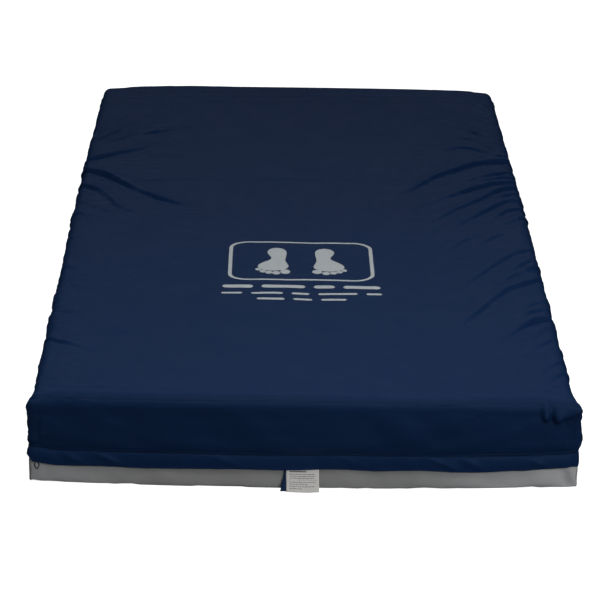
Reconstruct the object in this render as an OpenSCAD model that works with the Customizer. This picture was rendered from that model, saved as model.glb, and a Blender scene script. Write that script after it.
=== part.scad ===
// Pressure relief foam mattress for a hospital bed, with a zip-off cover.
// Frame: +Z up, origin at the centre of the underside, foot end at -Y, head end at +Y,
// left side at -X.

/* [Overall] */
// Width of the covered mattress
mat_w = 914; // [880:1:1070]
// Length of the covered mattress, foot end to head end
mat_l = 2032; // [1900:1:2140]
// Height of the covered mattress
mat_h = 152; // [145:1:180]
// Plan radius of the cover's corners, and of the roll from top to side
cover_r = 15; // [15:1:20]

/* [Covers] */
// Thickness of the coated cover fabric with its lamination
fabric_t = 1.2; // [0.8:0.1:1.5]
// Height of the grey boxing of the bottom cover
boxing_h = 38; // [34:1:38]
// Height of the lower edge of the top cover's sides, where the flap is sewn on
skirt_z = 56.5; // [56.5:0.5:60]
// Height of the flap's lower hem
flap_hem_z = 33; // [30:1:34]
// Thickness of the folded flap fabric
flap_t = 1.2; // [0.8:0.1:1.4]

/* [Zip] */
// Height of the middle of the zip
zip_z = 46; // [46:0.1:46.5]
// Height of one coil row
coil_h = 3.4; // [3:0.1:3.4]
// Thickness of the coil
coil_t = 2.4; // [2:0.1:2.4]
// Gap between the two coil rows
coil_gap = 0.8; // [0.7:0.1:1]
// Thickness of the zip tape
tape_t = 0.8; // [0.5:0.1:0.8]
// Distance from the cover's outer face in to the outer face of the tape
tape_in = 3.4; // [3.2:0.1:3.4]
// Distance of the middle of the closed slider from the left side
slider_from_corner = 11.5; // [11.5:0.5:40]
// Length of the slider
slider_l = 13; // [12:0.5:13]
// Diameter of the pull loop's wire
pull_wire_d = 1.3; // [1:0.1:1.3]
// Length of the pull loop, over the wire
pull_l = 22; // [20:0.5:26]
// Width of the pull loop, over the wire
pull_w = 9.6; // [9:0.2:10]

/* [Core] */
// Height of the gel-infused memory foam topper
topper_h = 50; // [38:1:55]
// Height of the transition layer
transition_h = 38; // [30:1:45]
// Width of each firm side rail
rail_w = 75; // [50:1:100]
// Length of the soft heel insert
heel_l = 480; // [380:10:600]
// Spacing of the cuts in the heel insert and the transition layer
cut_pitch = 60; // [50:5:80]
// Depth of the cuts
cut_depth = 20; // [10:1:24]
// Width of the cuts
cut_w = 4; // [3:0.5:8]
// Thickness of the knitted fire barrier
barrier_t = 1.5; // [1:0.1:1.5]

/* [Label] */
// Width of the care label
label_w = 55; // [40:1:70]
// Offset of the label's middle from the middle of the foot end
label_x = -4.5; // [-60:0.5:60]

/* [Hidden] */
$fn = 64;

half_w = mat_w / 2;
half_l = mat_l / 2;
foot_y = -half_l;                   // outer face of the cover at the foot end
gap = 0.3;                          // clearance between neighbouring parts

navy = [0.05, 0.09, 0.19];
grey = [0.55, 0.55, 0.55];
flap_navy = navy * 1.2;
thread_navy = navy * 0.5;
steel = [0.7, 0.7, 0.72];
dark_metal = [0.3, 0.3, 0.32];
rail_grey = [0.62, 0.66, 0.70];

// ---------- shared shapes ----------

// Rounded rectangle, centred
module rounded_rect(w, l, r) {
    square([w - 2 * r, l], center = true);
    square([w, l - 2 * r], center = true);
    for (side_x = [-1, 1], side_y = [-1, 1])
        translate([side_x * (w / 2 - r), side_y * (l / 2 - r)]) circle(r);
}

// Wall that follows the perimeter, between two insets from the cover's outer face
module perimeter_wall(outer_inset, inner_inset, z0, z1) {
    translate([0, 0, z0]) linear_extrude(z1 - z0) difference() {
        for_inset(outer_inset);
        for_inset(inner_inset);
    }
}

// Plan of the cover, drawn in by an inset
module for_inset(inset) {
    rounded_rect(mat_w - 2 * inset, mat_l - 2 * inset, cover_r - inset);
}

// Sweeps a section round a rounded rectangle.
// The section's x is measured outward from the corner's axis, its y is up
module sweep_round(w, l, r) {
    axis_x = w / 2 - r;
    axis_y = l / 2 - r;
    for (turn = [0, 180]) rotate([0, 0, turn]) {
        translate([axis_x, axis_y, 0]) rotate([90, 0, 0])
            linear_extrude(l - 2 * r) children();
        translate([-axis_x, axis_y, 0]) rotate([90, 0, 90])
            linear_extrude(w - 2 * r) children();
    }
    // corners: side in x, side in y, turn
    for (corner = [[1, 1, 0], [-1, 1, 90], [-1, -1, 180], [1, -1, 270]])
        translate([corner.x * axis_x, corner.y * axis_y, 0]) rotate([0, 0, corner.z])
            rotate_extrude(angle = 90) children();
}

// Section of a cap's wall: upright side and rolled edge
module cap_section(r, t, z0, roll_z) {
    translate([r - t, z0]) square([t, roll_z - z0]);
    translate([0, roll_z]) intersection() {
        difference() {
            circle(r);
            circle(r - t);
        }
        square(r);
    }
}

// Cap: a top panel with rolled edges and four sides, open underneath
module cap(w, l, r, t, z0, z1) {
    translate([0, 0, z1 - t / 2]) cube([w - 2 * r, l - 2 * r, t], center = true);
    sweep_round(w, l, r) cap_section(r, t, z0, z1 - r);
}

// Block with upright rounded corners and a rolled top edge
module rolled_block(w, l, r, z0, z1) {
    overlap = 1;                    // depth of the middle below the roll
    translate([0, 0, z0]) linear_extrude(z1 - r - z0) rounded_rect(w, l, r);
    translate([0, 0, z1 - (r + overlap) / 2])
        cube([w - 2 * r, l - 2 * r, r + overlap], center = true);
    translate([0, 0, z1 - r]) sweep_round(w, l, r) intersection() {
        circle(r);
        square(r);
    }
}

// ---------- covers ----------

module bottom_cover() {
    overlap = 0.01;
    color(grey) {
        linear_extrude(fabric_t) rounded_rect(mat_w, mat_l, cover_r);
        perimeter_wall(0, fabric_t, fabric_t - overlap, boxing_h);
    }
}

module top_cover() {
    color(navy) cap(mat_w, mat_l, cover_r, fabric_t, skirt_z, mat_h);
}

// ---------- zip tapes and coils ----------

coil_in = tape_in - coil_t;         // inset of the coil's outer face
coil_tape_gap = 0.05;
// Bottom and top of each coil row
lower_row = [zip_z - coil_gap / 2 - coil_h, zip_z - coil_gap / 2];
upper_row = [zip_z + coil_gap / 2, zip_z + coil_gap / 2 + coil_h];
tape_setback = 1.2;                 // tape's edge from the coil's edge nearest the zip's middle
lower_tape_lap = 10;                // overlap of the tape with the boxing
upper_tape_lap = 7.5;               // overlap of the tape with the top cover's sides

// One strip of the zip, from the left side near the foot end, round the head end and the
// right side, to the foot end near the left side. There it runs straight on to end_x.
// side_gap: distance of its start from the foot end
// end_z0, end_z1: heights between which the straight end is left
module zip_run(outer_inset, inner_inset, z0, z1, end_z0, end_z1, side_gap, end_x) {
    overlap = 0.5;
    difference() {
        perimeter_wall(outer_inset, inner_inset, z0, z1);
        translate([-half_w - 1, -half_l - 1, z0 - 1])
            cube([cover_r + 1, side_gap + 1, z1 - z0 + 2]);
    }
    translate([-half_w + end_x, -half_l + outer_inset, end_z0])
        cube([cover_r - end_x + overlap, inner_inset - outer_inset, end_z1 - end_z0]);
}

module zip_tape(z0, z1, end_z0, end_z1) {
    zip_run(tape_in, tape_in + tape_t, z0, z1, end_z0, end_z1, side_gap = 30, end_x = 1.8);
}

module coil(row) {
    zip_run(coil_in, tape_in - coil_tape_gap, row[0], row[1], row[0], row[1],
            side_gap = 44, end_x = 2.4);
}

module zip_lower_tape() {
    tape_top = lower_row[1] - tape_setback;
    color(grey * 0.8) zip_tape(boxing_h - lower_tape_lap, tape_top, boxing_h + gap, tape_top);
}

module zip_upper_tape() {
    tape_bottom = upper_row[0] + tape_setback;
    color(navy * 0.8) zip_tape(tape_bottom, skirt_z + upper_tape_lap, tape_bottom, skirt_z - gap);
}

module zip_lower_coil() { color([0.25, 0.25, 0.27]) coil(lower_row); }
module zip_upper_coil() { color([0.1, 0.12, 0.18]) coil(upper_row); }

// ---------- start of the zip, on the left side ----------

box_size = [2.7, 9.6, coil_h];
box_wall = 0.7;
box_floor = 0.8;
box_at = [-half_w + 0.5, -half_l + 34.2, lower_row[0]];
pocket_at = box_at + [box_wall, box_wall, box_floor];
pocket_size = box_size - [2 * box_wall, 2 * box_wall, 0];   // runs out through the top

// Box on the lower row, open at the top
module zip_retainer_box() {
    color(dark_metal) difference() {
        translate(box_at) cube(box_size);
        translate(pocket_at) cube(pocket_size);
    }
}

// Pin on the upper row, which stands in the box
module zip_insertion_pin() {
    clearance = [0.2, 0.3, 0.3];
    pin_at = pocket_at + clearance;
    color(dark_metal) translate(pin_at)
        cube([pocket_size.x - 2 * clearance.x, pocket_size.y - 2 * clearance.y,
              upper_row[1] - pin_at.z]);
}

// ---------- slider, stops and pull ----------

slider_x = -half_w + slider_from_corner;
plate_gap = 0.3;                    // from the slider's plates to the coil and the tape
front_plate_t = 1.5;
back_plate_t = 1.2;
slider_front = foot_y + coil_in - plate_gap - front_plate_t;    // outer face of the front plate
slider_back = foot_y + tape_in + tape_t + plate_gap;            // outward face of the back plate
post_z = 2.8;                       // height of each bail post from the zip's middle
post_d = 1.4;
pull_gap = 0.2;                     // from the front plate to the pull loop's wire

// Clip round the lower row, just past the slider's closed position, open towards the tape
module stop_clip() {
    clip_l = 1.7;
    clip_depth = 2.6;
    slider_gap = 0.6;
    front_t = 0.55;
    bottom_t = 0.3;
    top_t = 0.25;
    clearance = 0.05;               // round the coil
    slot_h = coil_h + 2 * clearance;
    translate([slider_x - slider_l / 2 - slider_gap - clip_l,
               foot_y + coil_in - front_t - clearance,
               lower_row[0] - bottom_t - clearance]) difference() {
        cube([clip_l, clip_depth, bottom_t + slot_h + top_t]);
        translate([-0.5, front_t, bottom_t]) cube([clip_l + 1, 3, slot_h]);
    }
}

module zip_lower_stop() { color(steel) stop_clip(); }

module zip_upper_stop() {
    color(steel) translate([0, 0, 2 * zip_z]) mirror([0, 0, 1]) stop_clip();
}

// Outline of the slider's plates in (x, z), widest just left of the middle.
// grow: height added at the top and at the bottom
function slider_outline(grow) = let (end_x = slider_l / 2) [
    [-end_x + 1, -5 - grow],
    [-end_x, -3 - grow],
    [-end_x, 3 + grow],
    [-end_x + 1, 5 + grow],
    [-1.5, 5.6 + grow],
    [end_x - 1, 4.2 + grow],
    [end_x, 3.2 + grow],
    [end_x, -3.2 - grow],
    [end_x - 1, -4.2 - grow],
    [-1.5, -5.6 - grow]
];

module slider_plate(y0, t, grow) {
    translate([0, y0 + t, 0]) rotate([90, 0, 0]) linear_extrude(t)
        polygon(slider_outline(grow));
}

// Two posts and a bar that keep the pull loop on
module slider_bail(joint) {
    bar_half = 0.8;                 // half width of the bar, and its reach past the posts' axes
    bar_t = 1.2;
    post_end = slider_front - pull_gap - pull_wire_d - 1;       // outer end, inside the bar
    for (side = [-1, 1])
        translate([0, slider_front + joint, side * post_z]) rotate([90, 0, 0])
            cylinder(d = post_d, h = slider_front + joint - post_end, $fn = 32);
    translate([-bar_half, post_end - 0.7, -post_z - bar_half])
        cube([2 * bar_half, bar_t, 2 * (post_z + bar_half)]);
}

module zip_slider() {
    joint = 0.1;                    // overlap of joined pieces
    plate_inner = slider_front + front_plate_t;
    web_l = 5;
    web_t = 0.4;
    flange_l = 10;
    flange_t = 1.2;
    flange_gap = 0.4;
    color([0.35, 0.35, 0.37]) translate([slider_x, 0, zip_z]) {
        slider_plate(slider_front, front_plate_t, grow = 0.6);
        slider_plate(slider_back, back_plate_t, grow = -0.4);
        // thin web between the rows, which ties the plates together
        translate([-slider_l / 2 + 0.5, plate_inner - joint, -web_t / 2])
            cube([web_l, slider_back - plate_inner + 2 * joint, web_t]);
        // flange under the lower row
        translate([-slider_l / 2 + 2, plate_inner - joint,
                   -coil_gap / 2 - coil_h - flange_gap - flange_t])
            cube([flange_l, coil_t + joint, flange_t]);
        slider_bail(joint);
    }
}

// Upper half of the pull loop's bend; the loop lies in the x, y plane here
module pull_bend(bend_r) {
    rotate_extrude(angle = 180) translate([bend_r, 0]) circle(d = pull_wire_d, $fn = 32);
}

// Long wire loop that hangs on the bail's lower post
module zip_pull_loop() {
    bend_r = (pull_w - pull_wire_d) / 2;            // to the middle of the wire
    straight = pull_l - pull_w;
    inside_top = zip_z - post_z + post_d / 2 + 0.1; // inside of the loop's upper end
    color([0.22, 0.22, 0.24])
        translate([slider_x, slider_front - pull_gap - pull_wire_d / 2,
                   inside_top + pull_wire_d / 2 - bend_r]) rotate([90, 0, 0]) {
            for (side = [-1, 1]) translate([side * bend_r, 0, 0]) rotate([90, 0, 0])
                cylinder(d = pull_wire_d, h = straight, $fn = 32);
            pull_bend(bend_r);
            translate([0, -straight, 0]) rotate([0, 0, 180]) pull_bend(bend_r);
        }
}

// ---------- foam core and fire barrier ----------

barrier_in = 6.4;                   // inset of the barrier's outer face from the cover's
barrier_z0 = 10;                    // lower edge of the barrier's sides
barrier_top = mat_h - fabric_t - gap;
foam_in = barrier_in + barrier_t + gap;
foam_w = mat_w - 2 * foam_in;
foam_l = mat_l - 2 * foam_in;
foam_r = cover_r - foam_in;
foam_foot = -foam_l / 2;
foam_head = foam_l / 2;
inner_w = foam_w - 2 * rail_w - 2 * gap;            // foam between the side rails
foam_z0 = fabric_t + gap;
foam_z1 = barrier_top - barrier_t - gap;
topper_z0 = foam_z1 - topper_h;
transition_z1 = topper_z0 - gap;
transition_z0 = transition_z1 - transition_h;
base_h = transition_z0 - gap - foam_z0;

module between_rails(y0, y1, z0, h) {
    translate([-inner_w / 2, y0, z0]) cube([inner_w, y1 - y0, h]);
}

// Cuts across the width, centred between y0 and y1, none at the very ends
module cross_cuts(y0, y1) {
    span = y1 - y0;
    n = floor(span / cut_pitch);
    margin = (span - n * cut_pitch) / 2;
    for (i = [0:n]) {
        cut_y = margin + i * cut_pitch;
        if (cut_y > cut_w && cut_y < span - cut_w)
            translate([-inner_w / 2 - 1, y0 + cut_y - cut_w / 2, transition_z1 - cut_depth])
                cube([inner_w + 2, cut_w, cut_depth + 1]);
    }
}

// Cuts along the length, an odd number centred on the width
module length_cuts(y0, y1) {
    n = floor(inner_w / cut_pitch / 2) * 2;
    for (i = [0:n])
        translate([(i - n / 2) * cut_pitch - cut_w / 2, y0 - 1, transition_z1 - cut_depth])
            cube([cut_w, y1 - y0 + 2, cut_depth + 1]);
}

module base_foam() {
    color([0.86, 0.83, 0.70]) between_rails(foam_foot, foam_head, foam_z0, base_h);
}

module transition_foam() {
    y0 = foam_foot + heel_l + gap;
    color([0.90, 0.91, 0.92]) difference() {
        between_rails(y0, foam_head, transition_z0, transition_h);
        cross_cuts(y0, foam_head);
    }
}

module heel_foam_insert() {
    y1 = foam_foot + heel_l;
    color([0.80, 0.72, 0.84]) difference() {
        between_rails(foam_foot, y1, transition_z0, transition_h);
        cross_cuts(foam_foot, y1);
        length_cuts(foam_foot, y1);
    }
}

// side: -1 left, 1 right
module side_rail(side) {
    translate([0, 0, foam_z0]) linear_extrude(transition_z1 - foam_z0) intersection() {
        rounded_rect(foam_w, foam_l, foam_r);
        translate([side * (foam_w - rail_w) / 2, 0]) square([rail_w, foam_l + 2], center = true);
    }
}

module left_side_rail() { color(rail_grey) side_rail(-1); }
module right_side_rail() { color(rail_grey) side_rail(1); }

module gel_foam_topper() {
    color([0.45, 0.68, 0.86]) rolled_block(foam_w, foam_l, foam_r, topper_z0, foam_z1);
}

module fire_barrier() {
    color([0.93, 0.92, 0.88])
        cap(mat_w - 2 * barrier_in, mat_l - 2 * barrier_in, cover_r - barrier_in, barrier_t,
            barrier_z0, barrier_top);
}

// ---------- stitching ----------

// Row of thread that holds the flap to the cover's sides
module flap_stitching() {
    color(thread_navy) perimeter_wall(-0.65, -0.1, skirt_z + 1.6, skirt_z + 2.3);
}

// Thread of the four upright corner seams
module corner_stitching() {
    end_gap = 4;
    inset = cover_r * (1 - sqrt(2) / 2) - 0.4;      // from both faces, to just outside the round
    color(thread_navy) for (side_x = [-1, 1], side_y = [-1, 1])
        translate([side_x * (half_w - inset), side_y * (half_l - inset), skirt_z + end_gap])
            cylinder(d = 0.6, h = mat_h - cover_r - skirt_z - 2 * end_gap, $fn = 16);
}

// ---------- flaps over the zip ----------

// Stand-offs from the cover's outer face
hinge_out = 1.1;                    // hinge line
flap_inner = 4.5;
flap_outer = flap_inner + flap_t;

// Section of the flap: x outward from the cover's face, y up
flap_section = [
    [hinge_out + flap_t / 2, skirt_z],
    [flap_outer, skirt_z - 5],
    [flap_outer, flap_hem_z],
    [flap_inner, flap_hem_z],
    [flap_inner, skirt_z - 5.6],
    [hinge_out - flap_t / 2, skirt_z - 0.6],
    [hinge_out - flap_t / 2, skirt_z]
];

// Flap on one side: made at the foot end, running along +X, then turned about Z.
// face: distance of the cover's face from the centre; half_run: half the side's length
// start_gap, end_gap: how far the flap's ends stop short of the side's
module flap(turn, face, half_run, start_gap = 0.5, end_gap = 0.5) {
    rotate([0, 0, turn]) translate([-half_run + start_gap, -face, 0]) rotate([90, 0, 90])
        linear_extrude(2 * half_run - start_gap - end_gap) mirror([1, 0]) {
            polygon(flap_section);
            // folded top edge, a bead on the hinge line
            translate([hinge_out, skirt_z]) circle(r = 0.8, $fn = 32);
        }
}

module foot_flap() {
    cutter = [40, 40, 20];
    color(flap_navy) difference() {
        flap(0, half_l, half_w, start_gap = 1);
        // the hem is cut back at a slant beside the zip's closed end
        translate([-half_w + 9, -half_l - cutter.y / 2, flap_hem_z]) rotate([0, 52, 0])
            translate([-cutter.x, 0, -cutter.z]) cube(cutter);
    }
}

module head_flap() { color(flap_navy) flap(180, half_l, half_w); }
module left_flap() { color(flap_navy) flap(-90, half_w, half_l, end_gap = 3); }
module right_flap() { color(flap_navy) flap(90, half_w, half_l); }

// ---------- labels ----------

label_t = 0.4;
label_z0 = 2;
label_h = flap_hem_z - 0.7 - label_z0;
label_left = label_x - label_w / 2;
label_y = foot_y - flap_outer + 0.9;                // middle of the label's thickness

module care_label() {
    color([0.9, 0.9, 0.88]) translate([label_left, label_y, 0]) {
        translate([0, -label_t / 2, label_z0]) cube([label_w, label_t, label_h]);
        // bead along the top edge
        translate([0, 0, label_z0 + label_h]) rotate([0, 90, 0])
            cylinder(r = 0.28, h = label_w, $fn = 32);
    }
}

// Panel behind the label, set to the left
module label_backing() {
    color(navy) translate([label_left - 4, label_y + 0.3, label_z0 + 0.2])
        cube([label_w - 2, label_t, label_h]);
}

bottom_cover();
zip_lower_tape();
zip_lower_coil();
zip_retainer_box();
zip_lower_stop();
zip_slider();
zip_pull_loop();
base_foam();
transition_foam();
heel_foam_insert();
left_side_rail();
right_side_rail();
gel_foam_topper();
fire_barrier();
top_cover();
zip_upper_tape();
zip_upper_coil();
zip_insertion_pin();
zip_upper_stop();
flap_stitching();
corner_stitching();
foot_flap();
head_flap();
left_flap();
right_flap();
care_label();
label_backing();
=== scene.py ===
"""Pressure relief mattress: cloth, foam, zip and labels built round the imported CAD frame.

It lies on the floor, centred on the origin, in metres. X runs across its width with the left
side at -X, Y along its length with the foot end at -Y, and Z up from its underside.
"""
import math
from functools import cached_property

import bmesh
import bpy
import numpy as np
from mathutils import Matrix, Vector
from mathutils.bvhtree import BVHTree

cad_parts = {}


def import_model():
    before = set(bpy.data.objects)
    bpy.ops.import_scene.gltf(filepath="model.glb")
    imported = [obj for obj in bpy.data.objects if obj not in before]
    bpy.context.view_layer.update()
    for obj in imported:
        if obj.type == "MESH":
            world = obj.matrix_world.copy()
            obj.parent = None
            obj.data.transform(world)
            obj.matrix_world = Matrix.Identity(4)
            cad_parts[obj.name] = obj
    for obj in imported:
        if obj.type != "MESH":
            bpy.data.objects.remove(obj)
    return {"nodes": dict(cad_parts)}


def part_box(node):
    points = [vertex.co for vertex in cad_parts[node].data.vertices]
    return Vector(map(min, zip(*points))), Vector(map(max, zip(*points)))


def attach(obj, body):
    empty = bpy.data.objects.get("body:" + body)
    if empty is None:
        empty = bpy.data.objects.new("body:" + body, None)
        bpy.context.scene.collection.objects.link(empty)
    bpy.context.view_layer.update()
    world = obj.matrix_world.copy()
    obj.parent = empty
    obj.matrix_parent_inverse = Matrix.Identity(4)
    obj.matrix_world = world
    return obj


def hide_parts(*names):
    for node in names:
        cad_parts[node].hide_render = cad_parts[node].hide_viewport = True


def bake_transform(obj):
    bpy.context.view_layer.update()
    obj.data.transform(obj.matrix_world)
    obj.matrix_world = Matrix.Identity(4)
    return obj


cad_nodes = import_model()["nodes"]
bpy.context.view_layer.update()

HALF_X, HALF_Y, TOP = 0.457, 1.016, 0.152
EDGE = 0.030             # band along every edge where the meshes are finer
SEAM_Z = 0.0580          # row of stitches over the flap
BOXING_Z = 0.0380        # top of the grey boxing
ZIP_Z = 0.0460           # line where the two rows of the zip meet
ZIP_RADIUS = 0.0125      # plan corner radius of the zip
FLAP_RADIUS = 0.0070     # plan corner radius of the flaps and their stitches
BOXING_RADIUS = 0.0065   # plan corner radius of the boxing
COVER_ROLL = 0.020       # radius of the cover's rolled edges
END_SWELL = 0.0062       # how far the ends swell in the middle of their width
CORE_INSET, CORE_ROLL = 0.0034, 0.0140   # rounded box under the cover that holds the foam
CORE_TOP = 0.1509

# ------------------------------------------------------------------ shaping helpers


def ease(low, high, value):
    """Smooth step from 0 at low to 1 at high."""
    share = np.clip((np.asarray(value, float) - low) / (high - low), 0, 1)
    return share * share * (3 - 2 * share)


def bell(distance, width):
    return np.exp(-((distance / width) ** 2))


def unit(vectors):
    return vectors / np.linalg.norm(vectors, axis=-1, keepdims=True)


def run_length(points):
    """Running length along a line of points."""
    return np.r_[0, np.cumsum(np.linalg.norm(np.diff(points, axis=0), axis=1))]


class Waves:
    """Smooth random field made of plane waves, repeatable from its seed."""

    def __init__(self, seed, count, shortest, longest, dims=2):
        random = np.random.default_rng(seed)
        lengths = np.exp(random.uniform(math.log(shortest), math.log(longest), count))
        ways = unit(random.normal(size=(count, dims)))
        self.ways = ways * (2 * math.pi / lengths)[:, None]
        self.phases = random.uniform(0, 2 * math.pi, count)
        self.heights = (lengths / longest) ** 0.6
        self.heights /= math.sqrt((self.heights**2).sum() / 2)

    def __call__(self, points):
        points = np.asarray(points, float)
        if points.ndim == 1:
            points = points[:, None]
        return np.sin(points @ self.ways.T + self.phases) @ self.heights


def bow(points):
    """Swells the ends in the middle of their width, more so low down, flares the corners
    and lets the long sides stand out a little."""
    points = np.array(points, float)
    x, y, z = points.T.copy()
    middle = ease(0.62, HALF_Y, np.abs(y)) * (1 - np.clip(np.abs(x) / HALF_X, 0, 1) ** 2)
    points[:, 1] += np.sign(y) * (END_SWELL + 0.0135 * (1 - ease(0.0, 0.034, z))) * middle
    y = points[:, 1]
    flare = ease(HALF_Y - 0.09, HALF_Y - 0.012, np.abs(y)) * ease(0.40, 0.456, np.abs(x))
    flare *= 1 - ease(0.12, 0.15, z)
    x = x + np.sign(x) * np.where(x > 0, 0.0042, 0.0030) * flare
    sides = ease(0.41, 0.456, np.abs(x)) * bell(y - 0.28, 0.75) * ease(0.066, 0.09, z)
    points[:, 0] = x + np.sign(x) * np.where(x > 0, 0.0030, 0.0040) * sides
    return points


def crowned(points):
    """The filling crowns the top, most towards the head end."""
    points = np.array(points, float)
    x, y, z = points.T
    across = np.clip(np.abs(x) / HALF_X, 0, 1)
    power = 2.0 + 2.2 * ease(0, 1, y) + 1.2 * (x > 0)
    lift = (0.0015 + 0.0072 * ease(-0.5, 1.0, y)) * (1 - across**power)
    z = z + lift * ease(0.075, 0.148, z)
    points[:, 2] = np.where(z > 0.158, 0.158 + 0.6 * (z - 0.158), z)
    return points


def roll_centres(points, radius, top=TOP, inset=0.0):
    """Nearest points of the inner box round which a rounded box of this radius rolls."""
    x, y = HALF_X - inset - radius, HALF_Y - inset - radius
    return np.stack([np.clip(points[:, 0], -x, x), np.clip(points[:, 1], -y, y),
                     np.minimum(points[:, 2], top - radius)], -1)


def rounded(points, radius, squareness=2.0):
    """Box points brought onto a box with rolled edges; more squareness gives sharper uprights."""
    centres = roll_centres(points, radius)
    offset = points - centres
    plan = np.abs(offset[:, 0]) ** squareness + np.abs(offset[:, 1]) ** squareness
    reach = np.sqrt(plan ** (2.0 / squareness) + offset[:, 2] ** 2)
    return centres + offset * (radius / np.maximum(reach, 1e-9))[:, None]


def keep_outside(points, top):
    """Pushes points out of the rounded box that holds the fire barrier and foam."""
    centres = roll_centres(points, CORE_ROLL, top, CORE_INSET)
    offset = points - centres
    reach = np.linalg.norm(offset, axis=1)
    push = np.maximum(CORE_ROLL - reach, 0)
    return points + offset / np.maximum(reach, 1e-6)[:, None] * push[:, None]


def stop_at_core(start, end, top):
    """Takes points from start towards end, but no further than the box that holds the foam."""

    def inside(points):
        centres = roll_centres(points, CORE_ROLL, top, CORE_INSET)
        return np.linalg.norm(points - centres, axis=1) < CORE_ROLL

    low, high = np.zeros(len(start)), np.ones(len(start))
    for _ in range(16):
        middle = (low + high) / 2
        hit = inside(start + (end - start) * middle[:, None])
        low, high = np.where(hit, low, middle), np.where(hit, middle, high)
    return start + (end - start) * np.where(inside(end), low, 1.0)[:, None]


def inset_plan(points, inset):
    """Scales points in plan, in place, so that the walls stand in by the inset."""
    half = np.array([HALF_X, HALF_Y])
    points[:, :2] *= (half - inset) / half


def seam_height(x, y):
    """Height of the row of stitches: it sags at the ends and rises to the foot corners."""
    near = 1 - ease(-HALF_Y + 0.012, -HALF_Y + 0.120, y)
    sag = 0.0038 * (np.abs(y) > HALF_Y - 0.03) * (1 - np.clip(np.abs(x) / HALF_X, 0, 1) ** 2)
    return SEAM_Z - sag + near * (0.004 * ease(0.36, 0.455, x) + 0.006 * ease(0.40, 0.457, -x))


# ------------------------------------------------------------------ mesh helpers


def mesh_object(name, verts, faces, smooth=True):
    mesh = bpy.data.meshes.new(name)
    faces = [list(map(int, face)) for face in faces]
    mesh.from_pydata(np.asarray(verts, float).tolist(), [], faces)
    mesh.update()
    if smooth:
        mesh.polygons.foreach_set("use_smooth", np.ones(len(mesh.polygons), bool))
    piece = bpy.data.objects.new(name, mesh)
    bpy.context.scene.collection.objects.link(piece)
    return piece


def coords(mesh):
    values = np.empty(len(mesh.vertices) * 3)
    mesh.vertices.foreach_get("co", values)
    return values.reshape(-1, 3)


def set_coords(mesh, points):
    mesh.vertices.foreach_set("co", np.asarray(points, np.float32).ravel())
    mesh.update()


def vertex_normals(mesh):
    mesh.update()
    values = np.empty(len(mesh.vertices) * 3, np.float32)
    mesh.vertex_normals.foreach_get("vector", values)
    return values.reshape(-1, 3).astype(float)


def grid_quads(index):
    """Quads between neighbours in a grid of vertex numbers."""
    return np.stack([index[:-1, :-1], index[1:, :-1], index[1:, 1:], index[:-1, 1:]],
                    -1).reshape(-1, 4)


def grid_rim(index):
    """The border of a grid of vertex numbers, walked once round."""
    return np.r_[index[:-1, 0], index[-1, :-1], index[:0:-1, -1], index[0, :0:-1]]


def repeat_faces(count, size, faces):
    """The faces of one part repeated over count parts of size vertices each."""
    faces = np.atleast_2d(faces)
    return (np.arange(count)[:, None, None] * size + faces).reshape(-1, faces.shape[1])


def strip(name, rings, closed_along=False, closed_round=False, smooth=True):
    """Surface through rings of points: rings is (along, round, 3)."""
    along, around = rings.shape[:2]
    index = np.arange(along * around).reshape(along, around)
    if closed_along:
        index = np.vstack([index, index[:1]])
    if closed_round:
        index = np.hstack([index, index[:, :1]])
    return mesh_object(name, rings.reshape(-1, 3), grid_quads(index), smooth)


def outline(radius, step):
    """Closed outline of the mattress in plan: points, outward normals and running length.
    It starts in the middle of the foot end's left corner and runs along the foot end first."""
    x, y = HALF_X - radius, HALF_Y - radius
    corners = ((-x, -y), (x, -y), (x, y), (-x, y), (-x, -y))
    walls = ((0, -1), (1, 0), (0, 1), (-1, 0))
    arcs = ((1.25, 1.5), (-0.5, 0), (0, 0.5), (0.5, 1), (1, 1.25))   # in half turns
    points, normals = [], []
    for i, (start, end) in enumerate(arcs):
        start, end = start * math.pi, end * math.pi
        centre = corners[i]
        count = max(int(abs(end - start) * radius / step), 4)
        for angle in np.linspace(start, end, count, endpoint=False):
            normal = (math.cos(angle), math.sin(angle))
            points.append([c + radius * n for c, n in zip(centre, normal)])
            normals.append(normal)
        if i == len(walls):
            break
        first = [c + radius * n for c, n in zip(centre, walls[i])]
        last = [c + radius * n for c, n in zip(corners[i + 1], walls[i])]
        count = max(int(math.dist(first, last) / step), 2)
        for share in np.linspace(0, 1, count, endpoint=False):
            points.append([a + (b - a) * share for a, b in zip(first, last)])
            normals.append(walls[i])
    points = np.array(points)
    return points, np.array(normals, float), run_length(points)


def graded(fine, middle_x, middle_y):
    """Grid lines over X and Y: fine steps near the edges, middle steps between."""
    lines = []
    for half, middle in ((HALF_X, middle_x), (HALF_Y, middle_y)):
        edge = np.linspace(-half, -half + EDGE, int(round(EDGE / fine)) + 1)
        count = int(round(2 * (half - EDGE) / middle))
        between = np.linspace(-half + EDGE, half - EDGE, count + 1)
        lines.append(np.r_[edge, between[1:], -edge[::-1][1:]])
    return lines


def falling(bottom, count, edge_count=6):
    """Heights from the top down to bottom, with edge_count of them in the rolled edge."""
    return np.r_[np.linspace(TOP, TOP - EDGE, edge_count),
                 np.linspace(TOP - EDGE, bottom, count)[1:]]


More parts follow.
